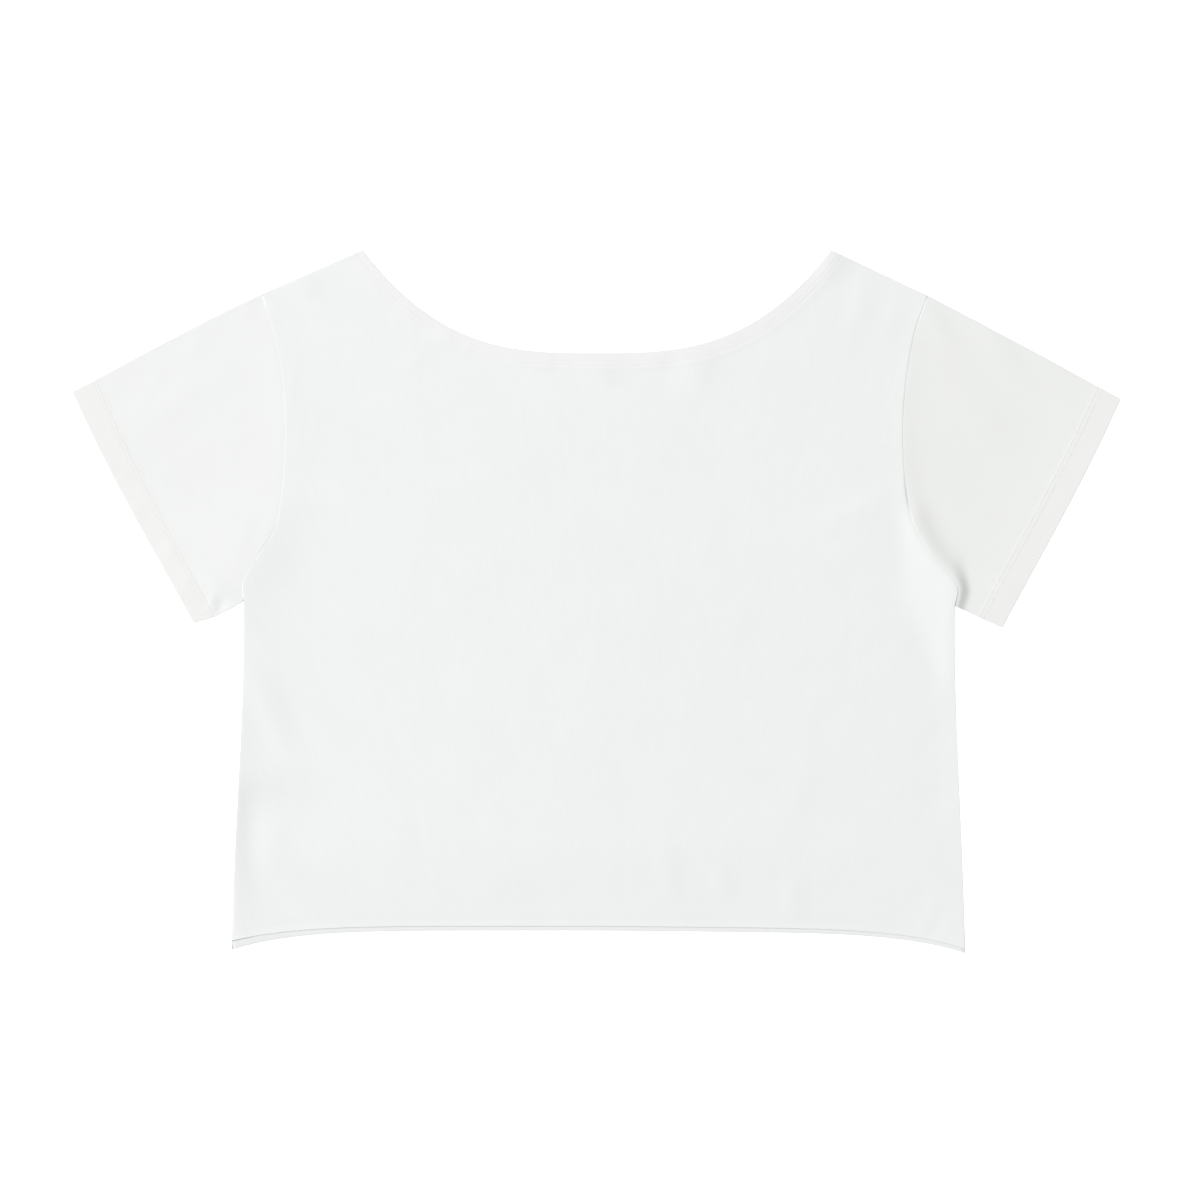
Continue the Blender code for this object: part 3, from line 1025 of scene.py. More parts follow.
@dataclass(frozen=True)
class CottonJersey:
    """Single jersey of bleached cotton, knitted and washed: matt, and a little uneven along its wales.

    wale is the pitch of the knit's columns. The real one is about 0.8 mm, too fine to show, so it is drawn
    twice as coarse. The streaks are where washing has drawn neighbouring wales together, and fan says how
    they spread out towards the neck. The cloth goes from bleached to deep over tone_range of the summed
    noises. Where it is turned at a hem it takes turned_painted_warmth, a painted warmth that stands in for
    light bounced inside the doubled cloth.
    """

    name: str
    seed: float
    fan: float = 0.0
    bleached: str = "#E8E9E9"
    deep: str = "#E6E8E7"
    # Painted warmth for the turned hems, standing in for light bounced inside the doubled cloth.
    turned_painted_warmth: str = "#E8E9E8"
    wale: float = 1.6 * MM
    streak_width: float = 2.4 * MM
    streak_length: float = 16.0 * MM
    streak_detail: float = 3.0
    patch: float = 34.0 * MM
    patch_detail: float = 2.0
    tone_range: tuple[float, float] = (0.7, 1.3)
    wale_depth: float = 0.004 * MM
    streak_depth: float = 0.007 * MM
    roughness: float = 0.95
    sheen: float = 0.12

    def make(self) -> bpy.types.Material:
        """Builds the material.

        Returns:
            The jersey, which reads the cloth's own map and how far it is turned.
        """
        material, tree, shader = new_material(self.name)
        cloth = add_node(tree, "ShaderNodeUVMap", uv_map=UV_MAP)
        split = add_node(tree, "ShaderNodeSeparateXYZ", {0: cloth.outputs["UV"]})
        x, y = split.outputs["X"], split.outputs["Y"]
        fan = add_node(tree, "ShaderNodeMath", {0: y, 1: self.fan, 2: 1.0}, operation="MULTIPLY_ADD")
        along = add_node(tree, "ShaderNodeMath", {0: x, 1: fan.outputs[0]}, operation="DIVIDE")
        fanned = add_node(tree, "ShaderNodeCombineXYZ", {0: along.outputs[0], 1: y, 2: self.seed})
        streaks = self.noise(tree, fanned, (self.streak_width, self.streak_length), self.streak_detail)
        patches = self.noise(tree, fanned, (self.patch, self.patch), self.patch_detail)
        tone = add_node(tree, "ShaderNodeMath", {0: streaks, 1: patches}, operation="ADD")
        low, high = self.tone_range
        given = {0: tone.outputs[0], "From Min": low, "From Max": high}
        depth = add_node(tree, "ShaderNodeMapRange", given, clamp=True)
        given = {0: depth.outputs[0], 6: linear(self.bleached), 7: linear(self.deep)}
        body = add_node(tree, "ShaderNodeMix", given, data_type="RGBA")
        # Where the cloth is turned, its tone is mixed towards a painted warmth that stands in for light
        # bounced inside the doubled cloth.
        hem = add_node(tree, "ShaderNodeAttribute", attribute_name=TURNED)
        given = {0: hem.outputs["Fac"], 6: body.outputs[2], 7: linear(self.turned_painted_warmth)}
        dyed = add_node(tree, "ShaderNodeMix", given, data_type="RGBA")
        tree.links.new(dyed.outputs[2], shader.inputs["Base Color"])
        given = {"Vector": cloth.outputs["UV"], "Scale": WAVE_LENGTH / self.wale}
        wales = add_node(tree, "ShaderNodeTexWave", given)
        given = {"Height": wales.outputs["Fac"], "Distance": self.wale_depth}
        knit = add_node(tree, "ShaderNodeBump", given)
        given = {"Height": streaks, "Distance": self.streak_depth, "Normal": knit.outputs["Normal"]}
        bumped = add_node(tree, "ShaderNodeBump", given)
        tree.links.new(bumped.outputs["Normal"], shader.inputs["Normal"])
        shader.inputs["Roughness"].default_value = self.roughness
        shader.inputs["Sheen Weight"].default_value = self.sheen
        return material

    def noise(
        self, tree: bpy.types.NodeTree, place: bpy.types.Node, grain: tuple[float, float], detail: float
    ) -> bpy.types.NodeSocket:
        """Noise whose grains have a given size.

        Args:
            tree: The material's tree.
            place: The node that gives the place in the cloth.
            grain: The grains' width and length.
            detail: The noise's detail.

        Returns:
            The noise's value.
        """
        scale = (1 / grain[0], 1 / grain[1], 1.0)
        mapped = add_node(tree, "ShaderNodeMapping", {"Vector": place.outputs[0], "Scale": scale})
        given = {"Vector": mapped.outputs[0], "Scale": 1.0, "Detail": detail}
        return add_node(tree, "ShaderNodeTexNoise", given).outputs["Fac"]


@dataclass(frozen=True)
class SewingThread:
    """Spun polyester sewing thread, dyed to match: a little whiter and smoother than the cloth."""

    name: str = "spun_polyester_thread"
    white: str = "#ECEDEC"
    worn: str = "#E4E5E2"
    variation: float = 3.0 * MM
    roughness: float = 0.7

    def make(self) -> bpy.types.Material:
        """Builds the material.

        Returns:
            The thread, uneven in tone along its length.
        """
        material, tree, shader = new_material(self.name)
        place = add_node(tree, "ShaderNodeTexCoord")
        grains = {"Vector": place.outputs["Object"], "Scale": 1 / self.variation, "Detail": 1.0}
        noise = add_node(tree, "ShaderNodeTexNoise", grains)
        ramp = add_node(tree, "ShaderNodeValToRGB", {"Fac": noise.outputs["Fac"]})
        ramp.color_ramp.elements[0].color = linear(self.worn)
        ramp.color_ramp.elements[1].color = linear(self.white)
        tree.links.new(ramp.outputs["Color"], shader.inputs["Base Color"])
        shader.inputs["Roughness"].default_value = self.roughness
        return material


# ---------------------------------------------------------------- the pieces


@dataclass
class Panel:
    """The front or the back panel of the body, from side seam to side seam, with its turned neck hem.

    Its rows run from the bottom hem to the neck edge and end on the side seams, the armholes and the
    shoulders. The lengths of these, and its width, are round numbers that set how many stations they have.
    corner_blend is how far from a shoulder the rows beside the neck's hem turn to meet it. The puckers are of
    the neck's hem, whose stitches stop stitch_inset stations short of the shoulders.
    """

    name: str
    slot: str
    front: bool
    finish: CottonJersey
    cut: Cut
    lie: Lie
    spacing: float
    minor: MinorCreases
    width: float = 0.5
    side_length: float = 0.240
    armhole_length: float = 0.225
    shoulder_length: float = 0.064
    corner_blend: float = 30 * MM
    neck_fall: float = 26 * MM
    neck_step: float = 0.12 * MM
    neck_step_width: float = 4 * MM
    pucker: float = 0.06 * MM
    pucker_count: int = 62
    pucker_place: float = 8 * MM
    pucker_width: float = 9 * MM
    pucker_seed: int = 5
    stitch_inset: int = 2

    def __post_init__(self) -> None:
        """Lays out the grid, and finds how far its stations are from the edges."""
        cut = self.cut
        self.shares = graded(self.width, self.spacing, cut.rim, cut.rim)
        self.side_shares = graded(self.side_length, self.spacing, cut.hem_rim)
        self.armhole_shares = graded(self.armhole_length, self.spacing)
        self.shoulder_shares = graded(self.shoulder_length, self.spacing)
        self.neck_rows = cut.neck_hem.stations()[::-1, 0]
        self.right_end, self.left_end = self.end(cut.right), self.end(cut.left)
        self.plan = self.lay_out()
        self.edges: list[Edge] = [end.near(self.plan) for end in (self.right_end, self.left_end)]
        self.to_hem = self.plan[..., 1] - self.plan[0, :, 1]
        self.to_neck = nearest(self.plan, cut.neck(np.linspace(0.0, 1.0, NECK_SAMPLES)))[0]
        self.to_neck[-len(self.neck_rows) :] = self.neck_rows[:, None]
        self.inside = cut.neck_hem.depth[0] - self.to_neck

    def end(self, half: Half) -> PanelEnd:
        """The panel's edge on one half of the garment.

        Args:
            half: The half.

        Returns:
            The edge, from the hem to the neck.
        """
        hem_line = self.cut.hem(np.array([0.0, 1.0]), self.front)
        corner = hem_line[0] if half.side is Wearer.RIGHT else hem_line[-1]
        armhole = half.armhole_at(self.armhole_shares)
        tip = half.place((self.cut.neck_half_width, self.cut.neck_corner_level))
        length = float(np.linalg.norm(tip - armhole[-1]))
        turned = (length - self.neck_rows) / length
        shoulder_shares = np.concatenate([self.shoulder_shares * turned[0], turned[1:]])
        side = corner + self.side_shares[:, None] * (armhole[0] - corner)
        side[:, 0] -= half.side.value * self.cut.side_bow * np.sin(np.pi * self.side_shares**2)
        shoulder = armhole[-1] + shoulder_shares[:, None] * (tip - armhole[-1])
        lies = (half.side_lie, half.panel_lie, half.shoulder_lie)
        shares = (self.side_shares, self.armhole_shares, shoulder_shares)
        found = [lie.at(stretch) for lie, stretch in zip(lies, shares)]
        lie = self.lie
        at_neck = lie.mid + smooth_step(shoulder_shares * 2 - 1) * (lie.doubled_mid - lie.mid)
        at_armhole = armhole_height(half, lie, armhole, self.front)
        heights = [np.full(len(side), lie.mid), at_armhole, at_neck]
        line = self.join([side, armhole, shoulder])
        far = travelled(line)
        joined = {name: self.join([part[name] for part in found]) for name in found[0]}
        for name in ("level", "reach", "fade"):
            joined[name] = softened(joined[name], far)
        return PanelEnd(line=line, far=far, height=self.join(heights), **joined)

    def join(self, parts: list[Array]) -> Array:
        """Joins the values of the three stretches, which share their end stations."""
        return np.concatenate([parts[0][:-1], parts[1], parts[2][1:]])

    def lay_out(self) -> Array:
        """The grid in plan.

        Returns:
            The stations, with rows from the hem to the neck and columns from the right to the left.
        """
        hem, neck = self.cut.hem(self.shares, self.front), self.cut.neck(self.shares)
        right, left = self.right_end.line, self.left_end.line
        below = len(right) - len(self.neck_rows) + 1
        line = neck - normals_of(neck) * self.neck_rows[0]
        far = travelled(line)
        for end, far_off in ((right[below - 1] - line[0], far), (left[below - 1] - line[-1], far[-1] - far)):
            line = line + smooth_step(1 - far_off / self.corner_blend)[:, None] * end
        across = self.shares[:, None]
        hem_shape = hem - (hem[0] + across * (hem[-1] - hem[0]))
        line_shape = line - (line[0] + across * (line[-1] - line[0]))
        risen = travelled(right[:below]) + travelled(left[:below])
        rows = []
        for start, end, up in zip(right, left, risen / risen[-1]):
            rows.append(start + across * (end - start) + (1 - up) * hem_shape + up * line_shape)
        for row in self.neck_rows[1:]:
            rows.append(neck + (line - neck) * (row / self.neck_rows[0]))
        return np.array(rows)

    def back_heights(self) -> Array:
        """The back's outer face between its edges: flat on the surface, with the ridge along its hem.

        Returns:
            The height at each station.
        """
        lie = self.lie
        under = lie.underside + crease_heights(self.plan, (*lie.under_creases, *self.minor.creases()))
        from_ridge = (self.to_hem - lie.back_hem_ridge) / lie.back_hem_width
        return np.maximum(under, 0.0) + lie.back_hem_lift * np.exp(-(from_ridge**2))

    def front_heights(self) -> Array:
        """The front's outer face between its edges: the crown, the hems, the seams' bulk and the creases.

        Returns:
            The height at each station.
        """
        plan, lie, to_hem = self.plan, self.lie, self.to_hem
        middle = 1 - np.minimum(np.abs(plan[..., 0]) / lie.crown_half_width, 1.0) ** 2
        heights = lie.flat + lie.loft + lie.crown * middle
        near_neck = smooth_step(1 + self.inside / self.neck_fall)
        step = self.neck_step * smooth_step(1 + self.inside / self.neck_step_width)
        heights += (lie.doubled - self.neck_step - heights) * near_neck + step
        heights += (lie.at_hem - heights) * smooth_step(1 - to_hem / lie.hem_fall)
        heights -= lie.hem_dip * smooth_step(1 - (to_hem - lie.hem_curl_width) / lie.hem_dip_width)
        heights += lie.underarm.heights(plan)
        for distance, edge in self.edges:
            heights = drawn_to(heights, edge["level"], distance, edge["reach"], edge["fade"])
        heights += crease_heights(plan, (*lie.body_creases, *self.minor.creases()))
        heights += lie.hem_curl * (1 - np.clip(to_hem / lie.hem_curl_width, 0.0, 1.0)) ** 2
        return heights + self.stitched()

    def stitched(self) -> Array:
        """The neck hem's stitching relief, with uneven puckers along it.

        Returns:
            The height that it adds at each station.
        """
        chance = np.random.default_rng(self.pucker_seed)
        places = np.linspace(0.0, 1.0, self.pucker_count)
        wave = np.interp(self.shares, places, chance.normal(0.0, self.pucker, self.pucker_count))
        kernel = np.hanning(PUCKER_WINDOW)
        wave = np.convolve(wave, kernel / kernel.sum(), "same")
        near = np.exp(-(((self.to_neck - self.pucker_place) / self.pucker_width) ** 2))
        return self.cut.neck_hem.relief(self.inside) + wave * near

    def wall(self) -> Wall:
        """Makes the panel's wall of cloth.

        Returns:
            The wall, its edges rolled down, doubled at the neck's hem and thinned at the front's cut hem.
        """
        lie = self.lie
        heights = self.front_heights() if self.front else self.back_heights()
        for distance, edge in self.edges:
            roll = edge["roll"] if self.front else lie.back_roll
            heights = rolled_to(heights, edge["height"], distance, roll)
        face = np.dstack([self.plan, heights])
        across, up = np.gradient(face, axis=1), np.gradient(face, axis=0)
        out = unit(np.cross(across, up)) * (1 if self.front else -1)
        thickness = lie.ply * self.cut.neck_hem.plies(self.inside)
        if self.front:
            thickness *= 1 - lie.hem_thinning * smooth_step(1 - self.to_hem / lie.hem_thin_width)
        fold = lie.fold_rounding * (1 - quarter_round(self.to_neck / lie.turned_fold_width))
        cut_edge = lie.cut_rounding * (1 - quarter_round(self.to_hem / lie.cut_edge_width))
        return Wall(face, out, thickness, np.maximum(fold, cut_edge))

    def rows_of_stitches(self, wall: Wall) -> list[Array]:
        """The paths of the two rows of stitches along the neck hem."""
        rows = [len(self.plan) - 1 - number for number in self.cut.neck_hem.row_numbers()]
        return [wall.outer()[row, self.stitch_inset : -self.stitch_inset] for row in rows]

    def build(self) -> tuple[bpy.types.Object, list[Array]]:
        """Builds the panel.

        Returns:
            The panel, and the paths of its stitches.
        """
        wall = self.wall()
        points, faces, stations = flat_wall_mesh(wall)
        if not self.front:
            faces = [face[::-1] for face in faces]
        turned = (wall.thickness / self.lie.ply - 1).clip(0.0).ravel()[stations]
        piece = add_cloth(self.name, points, faces, self.plan.reshape(-1, 2)[stations], turned)
        piece.data.materials.append(self.finish.make())
        return piece, self.rows_of_stitches(wall)

    def flat_cut(self) -> tuple[tuple[float, float], float]:
        """The flat piece with its turned hem opened out.

        Returns:
            Its width and length, and its area.
        """
        outline = outline_of(self.plan)
        size = outline.max(axis=0) - outline.min(axis=0)
        turned = self.cut.neck_hem.depth[0] * travelled(self.plan[-1])[-1]
        return (float(size[0]), float(size[1])), plan_area(outline) + turned


def armhole_height(half: Half, lie: Lie, seam: Array, upper: bool) -> Array:
    """The height of an armhole seam, which turns down to the folds at its two ends.

    Args:
        half: The half of the garment.
        lie: The lie of the cloth.
        seam: Points of the seam, from the underarm to the shoulder point.
        upper: Whether it is the upper layer's seam.

    Returns:
        One height for each point.
    """
    far = travelled(seam)
    shares = far / far[-1]
    if upper:
        beside = (edge.at(shares)["level"] for edge in (half.panel_lie, half.sleeve_lie))
        level = np.minimum(*beside) - lie.groove
    else:
        level = np.full(len(seam), lie.lower_groove)
    from_end = np.minimum(far, far[-1] - far)
    return lie.mid + (level - lie.mid) * quarter_round(from_end / lie.fold_width)


@dataclass
class Sleeve:
    """A short set-in sleeve: a flattened tube from its armhole to its turned cuff hem.

    Its rows are rings round the tube, and its columns run from the armhole to the cuff. width is a round
    number that sets how many stations there are across it, and the rims are the first ones in from its edges,
    in mm.
    """

    name: str
    slot: str
    half: Half
    finish: CottonJersey
    lie: Lie
    creases: tuple[Crease, ...]
    minor: MinorCreases
    spacing: float = 1.9 * MM
    width: float = 0.150
    rim: tuple[float, ...] = RIM
    armhole_rim: tuple[float, ...] = (0.0, 0.06, 0.2, 0.35, 0.6, 1.0, 1.6, 2.4, 3.4)

    def __post_init__(self) -> None:
        """Lays out the rings' stations over the upper layer."""
        half = self.half
        self.shares = graded(self.width, self.spacing, self.rim, self.rim)
        self.armhole = half.armhole_at(self.shares)
        self.low, self.high = half.place(half.cuff_low), half.place(half.cuff_high)
        self.cuff = self.high - self.low
        self.away = unit(np.array([self.cuff[1], -self.cuff[0]])) * half.side.value
        self.plan = self.lay_out()

    def lay_out(self) -> Array:
        """The upper layer's grid in plan.

        Returns:
            The stations, with rows from the armhole to the cuff and columns from the underarm to the upper
            fold.
        """
        half, across = self.half, self.shares[:, None]
        slant = self.away @ (self.low - self.armhole[0]), self.away @ (self.high - self.armhole[-1])
        hem = []
        for low_depth, high_depth in half.cuff_hem.stations()[::-1]:
            start = self.low + (self.armhole[0] - self.low) * low_depth / slant[0]
            end = self.high + (self.armhole[-1] - self.high) * high_depth / slant[1]
            hem.append(start + across * (end - start) + half.bowed(across) * self.away)
        length = float(np.linalg.norm(hem[0] - self.armhole, axis=1).max())
        body = graded(length, self.spacing, self.armhole_rim)[:-1, None, None]
        outwards = unit(hem[0][-1] - self.armhole[-1])
        bow = half.fold_bow * across**3 * np.array([-outwards[1], outwards[0]]) * -half.side.value
        rings = self.armhole + body * (hem[0] - self.armhole) - 4 * body * (1 - body) * bow
        rings = np.concatenate([rings, np.array(hem)])
        low_fold = self.low - self.armhole[0]
        share = np.linalg.norm(rings[:, 0] - self.armhole[0], axis=1) / np.linalg.norm(low_fold)
        below = unit(np.array([low_fold[1], -low_fold[0]])) * half.side.value
        return rings + half.low_bow * np.sin(np.pi * share)[:, None, None] * (1 - across) ** 3 * below

    def measures(self) -> dict[str, Array]:
        """Where each station lies between the sleeve's edges.

        Returns:
            Its distances to the armhole, the cuff and the folds, the share of the armhole that is nearest,
            how far it is outside the turned ply's edge, and how far along the sleeve, from 0 to 1.
        """
        plan, half = self.plan, self.half
        to_armhole, place = nearest(plan, self.armhole)
        share = place / travelled(self.armhole)[-1]
        across = np.clip((plan - self.low) @ unit(self.cuff) / np.linalg.norm(self.cuff), 0.0, 1.0)
        to_cuff = (self.low - plan) @ self.away + half.bowed(across)
        depth = half.cuff_hem.depth[0] + across * (half.cuff_hem.depth[1] - half.cuff_hem.depth[0])
        to_fold = np.minimum(nearest(plan, plan[:, 0])[0], nearest(plan, plan[:, -1])[0])
        found = {"to_armhole": to_armhole, "share": share, "to_cuff": to_cuff, "to_fold": to_fold}
        found["inside"] = depth - to_cuff
        found["along"] = to_armhole / np.maximum(to_armhole + to_cuff, TINY)
        return found

    def upper_heights(self, at: dict[str, Array]) -> Array:
        """The upper layer's outer face, rolled down at the armhole but not at the folds.

        Args:
            at: The stations' measures.

        Returns:
            The height at each station.
        """
        lie, half = self.lie, self.half
        heights = lie.sleeve_at_armhole + (lie.sleeve_at_cuff - lie.sleeve_at_armhole) * at["along"]
        heights += lie.cuff_step * (half.cuff_hem.plies(at["inside"]) - 1) + half.hollow.heights(self.plan)
        edge = half.sleeve_lie.at(at["share"])
        heights = drawn_to(heights, edge["level"], at["to_armhole"], edge["reach"], edge["fade"])
        heights += crease_heights(self.plan, (*self.creases, *self.minor.creases()))
        heights += half.cuff_hem.relief(at["inside"])
        seam = armhole_height(half, lie, self.armhole, True)
        return rolled_to(heights, np.interp(at["share"], self.shares, seam), at["to_armhole"], edge["roll"])

    def lower_heights(self, at: dict[str, Array]) -> Array:
        """The lower layer's outer face, which rests on the surface.

        Args:
            at: The stations' measures.

        Returns:
            The height at each station.
        """
        lie = self.lie
        under = lie.underside + crease_heights(self.plan, lie.under_creases)
        under = np.maximum(under - self.half.cuff_hem.relief(at["inside"]), 0.0)
        seam = np.interp(at["share"], self.shares, armhole_height(self.half, lie, self.armhole, False))
        return rolled_to(under, seam, at["to_armhole"], lie.sleeve_under_roll)

    def wall(self) -> Wall:
        """Makes the tube's wall of cloth.

        Returns:
            The wall, rolled over at its two folds and doubled at the cuff's hem.
        """
        at = self.measures()
        lie = self.lie
        middle = lie.mid + smooth_step(1 + at["inside"] / lie.cuff_fall) * (lie.doubled_mid - lie.mid)
        upper = rolled_to(self.upper_heights(at), middle, at["to_fold"], lie.fold_width)
        lower = rolled_to(self.lower_heights(at), middle, at["to_fold"], lie.fold_width)
        face = self.around(np.dstack([self.plan, upper]), np.dstack([self.plan, lower]))
        ring = np.roll(face, -1, axis=1) - np.roll(face, 1, axis=1)
        out = unit(np.cross(ring, np.gradient(face, axis=0))) * -self.half.side.value
        thickness = lie.ply * self.half.cuff_hem.plies(at["inside"])
        rounding = lie.fold_rounding * (1 - quarter_round(at["to_cuff"] / lie.turned_fold_width))
        return Wall(face, out, self.around(thickness, thickness), self.around(rounding, rounding))

    def around(self, above: Array, below: Array) -> Array:
        """Rings over the upper layer and back under it."""
        return np.concatenate([above, below[:, -2:0:-1]], axis=1)

    def flat_map(self) -> Array:
        """Each station's place in the flat cloth.

        Returns:
            Pairs of how far round the sleeve and how far along it the station is.
        """
        along = (self.plan - self.low) @ self.away
        across = (self.plan - self.low) @ unit(self.cuff)
        back_across = 2 * np.linalg.norm(self.cuff) - across
        return self.around(np.dstack([across, along]), np.dstack([back_across, along]))

    def build(self) -> tuple[bpy.types.Object, list[Array]]:
        """Builds the sleeve.

        Returns:
            The sleeve, and the closed paths of its stitches.
        """
        wall = self.wall()
        points, faces, stations = tube_wall_mesh(wall)
        if self.half.side is Wearer.RIGHT:
            faces = [face[::-1] for face in faces]
        turned = (wall.thickness / self.lie.ply - 1).ravel()[stations]
        piece = add_cloth(self.name, points, faces, self.flat_map().reshape(-1, 2)[stations], turned)
        piece.data.materials.append(self.finish.make())
        rows = [len(self.plan) - 1 - number for number in self.half.cuff_hem.row_numbers()]
        return piece, [np.vstack([wall.outer()[row], wall.outer()[row, :1]]) for row in rows]

    def flat_cut(self) -> tuple[tuple[float, float], float]:
        """The sleeve opened out flat, all round and with its turned hem.

        Returns:
            Its width and length, and its area.
        """
        around = 2 * max(float(np.linalg.norm(row[-1] - row[0])) for row in self.plan)
        hem = sum(self.half.cuff_hem.depth) / 2
        length = float(((self.low - self.plan) @ self.away).max()) + hem
        turned = 2 * hem * float(np.linalg.norm(self.cuff))
        return (around, length), 2 * plan_area(outline_of(self.plan)) + turned


# ---------------------------------------------------------------- stitches


@dataclass(frozen=True)
class Stitching:
    """Rows of lockstitches, each a short bead of thread sunk a little into the cloth.

    wander is how far a bead may turn to either side of its row, and segments and rings are its faces.
    """

    pitch: float = 2.07 * MM
    length: float = 1.75 * MM
    width: float = 0.29 * MM
    wander: float = math.radians(7.0)
    seed: int = 11
    segments: int = 6
    rings: int = 4

    def tree(self) -> bpy.types.NodeTree:
        """The Geometry Nodes tree that sets beads along the paths.

        Returns:
            The tree, with inputs named Pitch, Length, Width, Wander, Seed and Thread.
        """
        tree = bpy.data.node_groups.new("lockstitches", "GeometryNodeTree")
        tree.interface.new_socket("Geometry", in_out="INPUT", socket_type="NodeSocketGeometry")
        for name in ("Pitch", "Length", "Width", "Wander"):
            tree.interface.new_socket(name, in_out="INPUT", socket_type="NodeSocketFloat")
        tree.interface.new_socket("Seed", in_out="INPUT", socket_type="NodeSocketInt")
        tree.interface.new_socket("Thread", in_out="INPUT", socket_type="NodeSocketMaterial")
        tree.interface.new_socket("Geometry", in_out="OUTPUT", socket_type="NodeSocketGeometry")
        given = tree.nodes.new("NodeGroupInput").outputs
        path = add_node(tree, "GeometryNodeMeshToCurve", {"Mesh": given["Geometry"]})
        wanted = {"Curve": path.outputs["Curve"], "Length": given["Pitch"]}
        spaced = add_node(tree, "GeometryNodeResampleCurve", wanted, mode="LENGTH")
        wanted = {"Segments": self.segments, "Rings": self.rings, "Radius": 0.5}
        bead = add_node(tree, "GeometryNodeMeshUVSphere", wanted)
        along = add_node(tree, "GeometryNodeInputTangent")
        wanted = {"Vector": along.outputs[0]}
        aligned = add_node(tree, "FunctionNodeAlignRotationToVector", wanted, axis="X")
        less = add_node(tree, "ShaderNodeMath", {0: given["Wander"], 1: -1.0}, operation="MULTIPLY")
        wanted = {2: less.outputs[0], 3: given["Wander"], "Seed": given["Seed"]}
        turn = add_node(tree, "FunctionNodeRandomValue", wanted, data_type="FLOAT")
        wanted = {"Axis": (0, 0, 1), "Angle": turn.outputs[1]}
        turned = add_node(tree, "FunctionNodeAxisAngleToRotation", wanted)
        wanted = {"Rotation": aligned.outputs[0], "Rotate By": turned.outputs[0]}
        rotation = add_node(tree, "FunctionNodeRotateRotation", wanted, rotation_space="LOCAL")
        wanted = {0: given["Length"], 1: given["Width"], 2: given["Width"]}
        size = add_node(tree, "ShaderNodeCombineXYZ", wanted)
        wanted = {"Points": spaced.outputs["Curve"], "Instance": bead.outputs["Mesh"]}
        wanted |= {"Rotation": rotation.outputs[0], "Scale": size.outputs[0]}
        placed = add_node(tree, "GeometryNodeInstanceOnPoints", wanted)
        real = add_node(tree, "GeometryNodeRealizeInstances", {0: placed.outputs[0]})
        smooth = add_node(tree, "GeometryNodeSetShadeSmooth", {"Geometry": real.outputs[0]})
        wanted = {"Geometry": smooth.outputs[0], "Material": given["Thread"]}
        dressed = add_node(tree, "GeometryNodeSetMaterial", wanted)
        add_node(tree, "NodeGroupOutput", {0: dressed.outputs[0]})
        return tree

    def build(self, name: str, paths: list[Array], thread: bpy.types.Material) -> bpy.types.Object:
        """Builds the stitches along a set of paths.

        Args:
            name: The piece's name.
            paths: The rows' points.
            thread: The stitches' material.

        Returns:
            The stitches as one plain mesh.
        """
        points, edges, first = np.vstack(paths), [], 0
        for path in paths:
            edges += [(first + at, first + at + 1) for at in range(len(path) - 1)]
            first += len(path)
        mesh = bpy.data.meshes.new(name + "_paths")
        mesh.from_pydata(points.tolist(), edges, [])
        carrier = add_object(name + "_paths", mesh)
        modifier = carrier.modifiers.new("lockstitches", "NODES")
        tree = self.tree()
        modifier.node_group = tree
        wanted = {
            "Pitch": self.pitch,
            "Length": self.length,
            "Width": self.width,
            "Wander": self.wander,
            "Seed": self.seed,
            "Thread": thread,
        }
        for item in tree.interface.items_tree:
            if item.in_out == "INPUT" and item.name in wanted:
                modifier[item.identifier] = wanted[item.name]
        shown = bpy.data.meshes.new_from_object(carrier.evaluated_get(bpy.context.evaluated_depsgraph_get()))
        bpy.data.objects.remove(carrier)
        shown.name = name
        return add_object(name, shown)


# ---------------------------------------------------------------- the studio


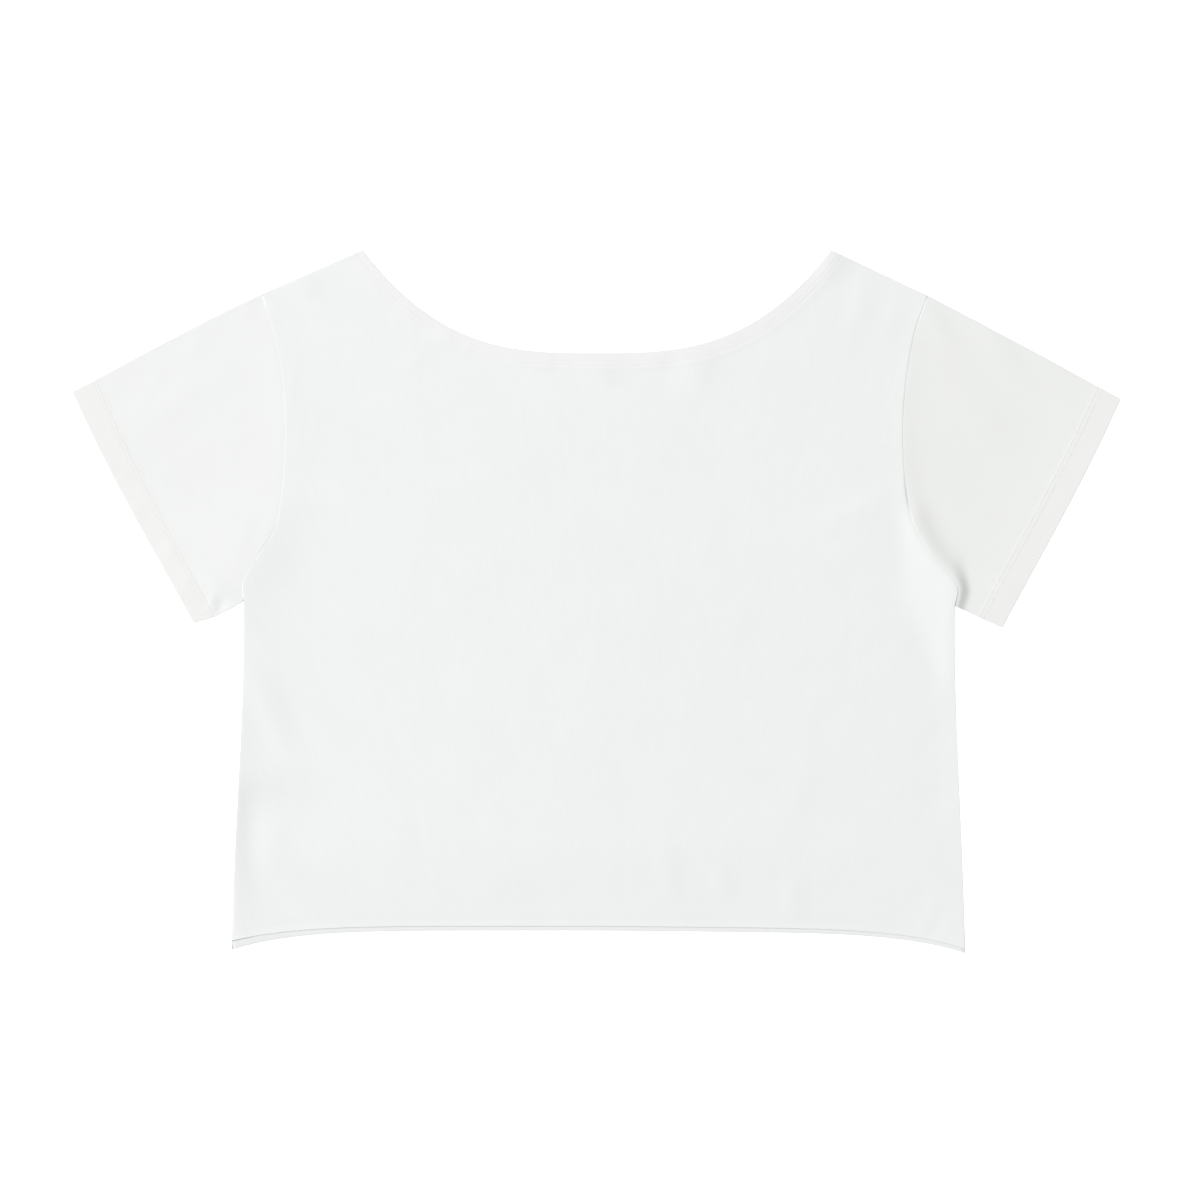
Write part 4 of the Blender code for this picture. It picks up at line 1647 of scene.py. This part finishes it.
@dataclass(frozen=True)
class Studio:
    """A plain pale floor, a large softbox low on one side, pale surroundings, and a camera straight above.

    direct and around are the light from the softbox and from all round, as a share of what makes a white
    surface just white. The softbox stands far off, so that its light falls off gently across the garment. The
    floor glows a little, but only for the camera, and so it shows no shadow.
    """

    direct: float = 0.565
    around: float = 0.565
    azimuth: float = math.radians(163.0)
    elevation: float = math.radians(30.0)
    distance: float = 14.3
    softbox_side: float = 7.0
    surroundings: str = WHITE
    lamp_tint: str = WHITE
    floor_side: float = 9.0
    floor_level: float = -0.3 * MM
    floor_white: str = "#F6F6F6"
    floor_roughness: float = 0.9
    floor_glow: float = 0.8
    seen_width: float = 0.840
    centre: tuple[float, float] = (2.45 * MM, 1.05 * MM)
    camera_height: float = 6.0
    sensor: float = 36.0

    def light(self) -> None:
        """Adds the softbox and the surroundings."""
        lamp = bpy.data.lights.new("softbox", "AREA")
        lamp.shape = "SQUARE"
        lamp.size = self.softbox_side
        facing = self.direct * math.pi / math.sin(self.elevation)
        lamp.energy = facing * math.pi * self.distance**2
        lamp.color = linear(self.lamp_tint)[:3]
        softbox = add_object("softbox", lamp)
        level = self.distance * math.cos(self.elevation)
        x, y = level * math.cos(self.azimuth), level * math.sin(self.azimuth)
        softbox.location = (x, y, self.distance * math.sin(self.elevation))
        softbox.rotation_euler = (math.pi / 2 - self.elevation, 0.0, self.azimuth + math.pi / 2)
        softbox.visible_camera = False
        world = bpy.data.worlds.new("pale_surroundings")
        world.use_nodes = True
        sky = world.node_tree.nodes["Background"]
        sky.inputs["Color"].default_value = linear(self.surroundings)
        sky.inputs["Strength"].default_value = self.around
        bpy.context.scene.world = world

    def floor(self) -> None:
        """Adds the floor, of white backdrop paper: quite matt, with a glow that only the camera sees."""
        half = self.floor_side / 2
        corners = [(x * half, y * half, self.floor_level) for x, y in ((-1, -1), (1, -1), (1, 1), (-1, 1))]
        mesh = bpy.data.meshes.new("floor")
        mesh.from_pydata(corners, [], [(0, 1, 2, 3)])
        floor = add_object("floor", mesh)
        material, tree, shader = new_material("white_backdrop_paper")
        shader.inputs["Base Color"].default_value = linear(self.floor_white)
        shader.inputs["Roughness"].default_value = self.floor_roughness
        seen = add_node(tree, "ShaderNodeLightPath")
        given = {0: seen.outputs["Is Camera Ray"], 1: self.floor_glow}
        glow = add_node(tree, "ShaderNodeMath", given, operation="MULTIPLY")
        shader.inputs["Emission Color"].default_value = linear(WHITE)
        tree.links.new(glow.outputs[0], shader.inputs["Emission Strength"])
        mesh.materials.append(material)

    def camera(self) -> None:
        """Adds the camera, straight above with the neck towards the top of the view."""
        lens = bpy.data.cameras.new("camera")
        lens.sensor_width = self.sensor
        lens.lens = self.sensor * self.camera_height / self.seen_width
        lens.clip_end = 4 * self.camera_height
        camera = add_object("camera", lens)
        camera.location = (*self.centre, self.camera_height)
        bpy.context.scene.camera = camera
        bpy.context.scene.view_settings.view_transform = "Standard"


# ---------------------------------------------------------------- the garment


@dataclass
class TShirt:
    """The whole garment: two panels, two sleeves and their stitching."""

    cut: Cut = Cut()
    lie: Lie = Lie()
    stitching: Stitching = Stitching()
    thread: SewingThread = SewingThread()

    def pieces(self) -> list[Panel | Sleeve]:
        """The four cut pieces.

        Returns:
            The front, the back, the right sleeve and the left sleeve.
        """
        cut, lie = self.cut, self.lie
        body_area = {"x_range": (-240, 240), "y_range": (-215, 200)}
        front = Panel(
            name="front_jersey_panel",
            slot="front_jersey",
            front=True,
            finish=CottonJersey("front_cotton_jersey", seed=0.3, fan=1.5),
            cut=cut,
            lie=lie,
            spacing=2.3 * MM,
            minor=MinorCreases(count=420, seed=3, **body_area),
        )
        back = Panel(
            name="back_jersey_panel",
            slot="back_jersey",
            front=False,
            finish=CottonJersey("back_cotton_jersey", seed=4.1, fan=1.5),
            cut=cut,
            lie=lie,
            spacing=3.2 * MM,
            minor=MinorCreases(count=150, seed=8, rise=0.06, **body_area),
        )
        # The sleeves' turned cuffs get a painted warmth that stands in for light bounced inside the doubled
        # cloth.
        sleeve_look = {"turned_painted_warmth": "#E7E8E6", "streak_depth": 0.005 * MM}
        right = Sleeve(
            name="right_jersey_sleeve",
            slot="sleeve_jersey",
            half=cut.right,
            finish=CottonJersey(
                "right_sleeve_cotton_jersey", seed=7.7, bleached="#E7E8E8", deep="#E6E7E6", **sleeve_look
            ),
            lie=lie,
            creases=lie.right_sleeve_creases,
            minor=MinorCreases(count=30, seed=21, x_range=(-350, -240), y_range=(10, 190)),
        )
        left = Sleeve(
            name="left_jersey_sleeve",
            slot="sleeve_jersey",
            # The left sleeve's jersey is a shaded copy of the right one's: darker and warmer, as painted shade
            # of the side that the softbox lights least.
            half=cut.left,
            finish=CottonJersey(
                "left_sleeve_jersey_with_painted_shade", seed=9.2, bleached="#E6E8E6", deep="#E6E7E5", **sleeve_look
            ),
            lie=lie,
            creases=lie.left_sleeve_creases,
            minor=MinorCreases(count=30, seed=34, x_range=(240, 350), y_range=(10, 190)),
        )
        return [front, back, right, left]

    def build(self) -> None:
        """Builds every piece, sets it on the body in place of the part that it replaces, and logs its cut."""
        thread = self.thread.make()
        replaced = ("front_panel", "back_panel", "right_sleeve", "left_sleeve")
        for piece, node in zip(self.pieces(), replaced):
            cloth, paths = piece.build()
            stitches = self.stitching.build(f"{node}_stitching", paths, thread)
            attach(cloth, "root")
            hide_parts(node)
            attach(stitches, "root")
            flat, area = piece.flat_cut()
            size = f"{flat[0] / MM:.0f} x {flat[1] / MM:.0f} mm, {area:.4f} m2"
            counts = (len(made.data.polygons) for made in (cloth, stitches))
            LOG.info("%s: cut %s; %d faces and %d of its stitches", cloth.name, size, *counts)


def main() -> None:
    """Builds the garment and the studio."""
    logging.basicConfig(level=logging.INFO, format="%(message)s")
    TShirt().build()
    studio = Studio()
    studio.floor()
    studio.light()
    studio.camera()


if __name__ == "__main__":
    main()
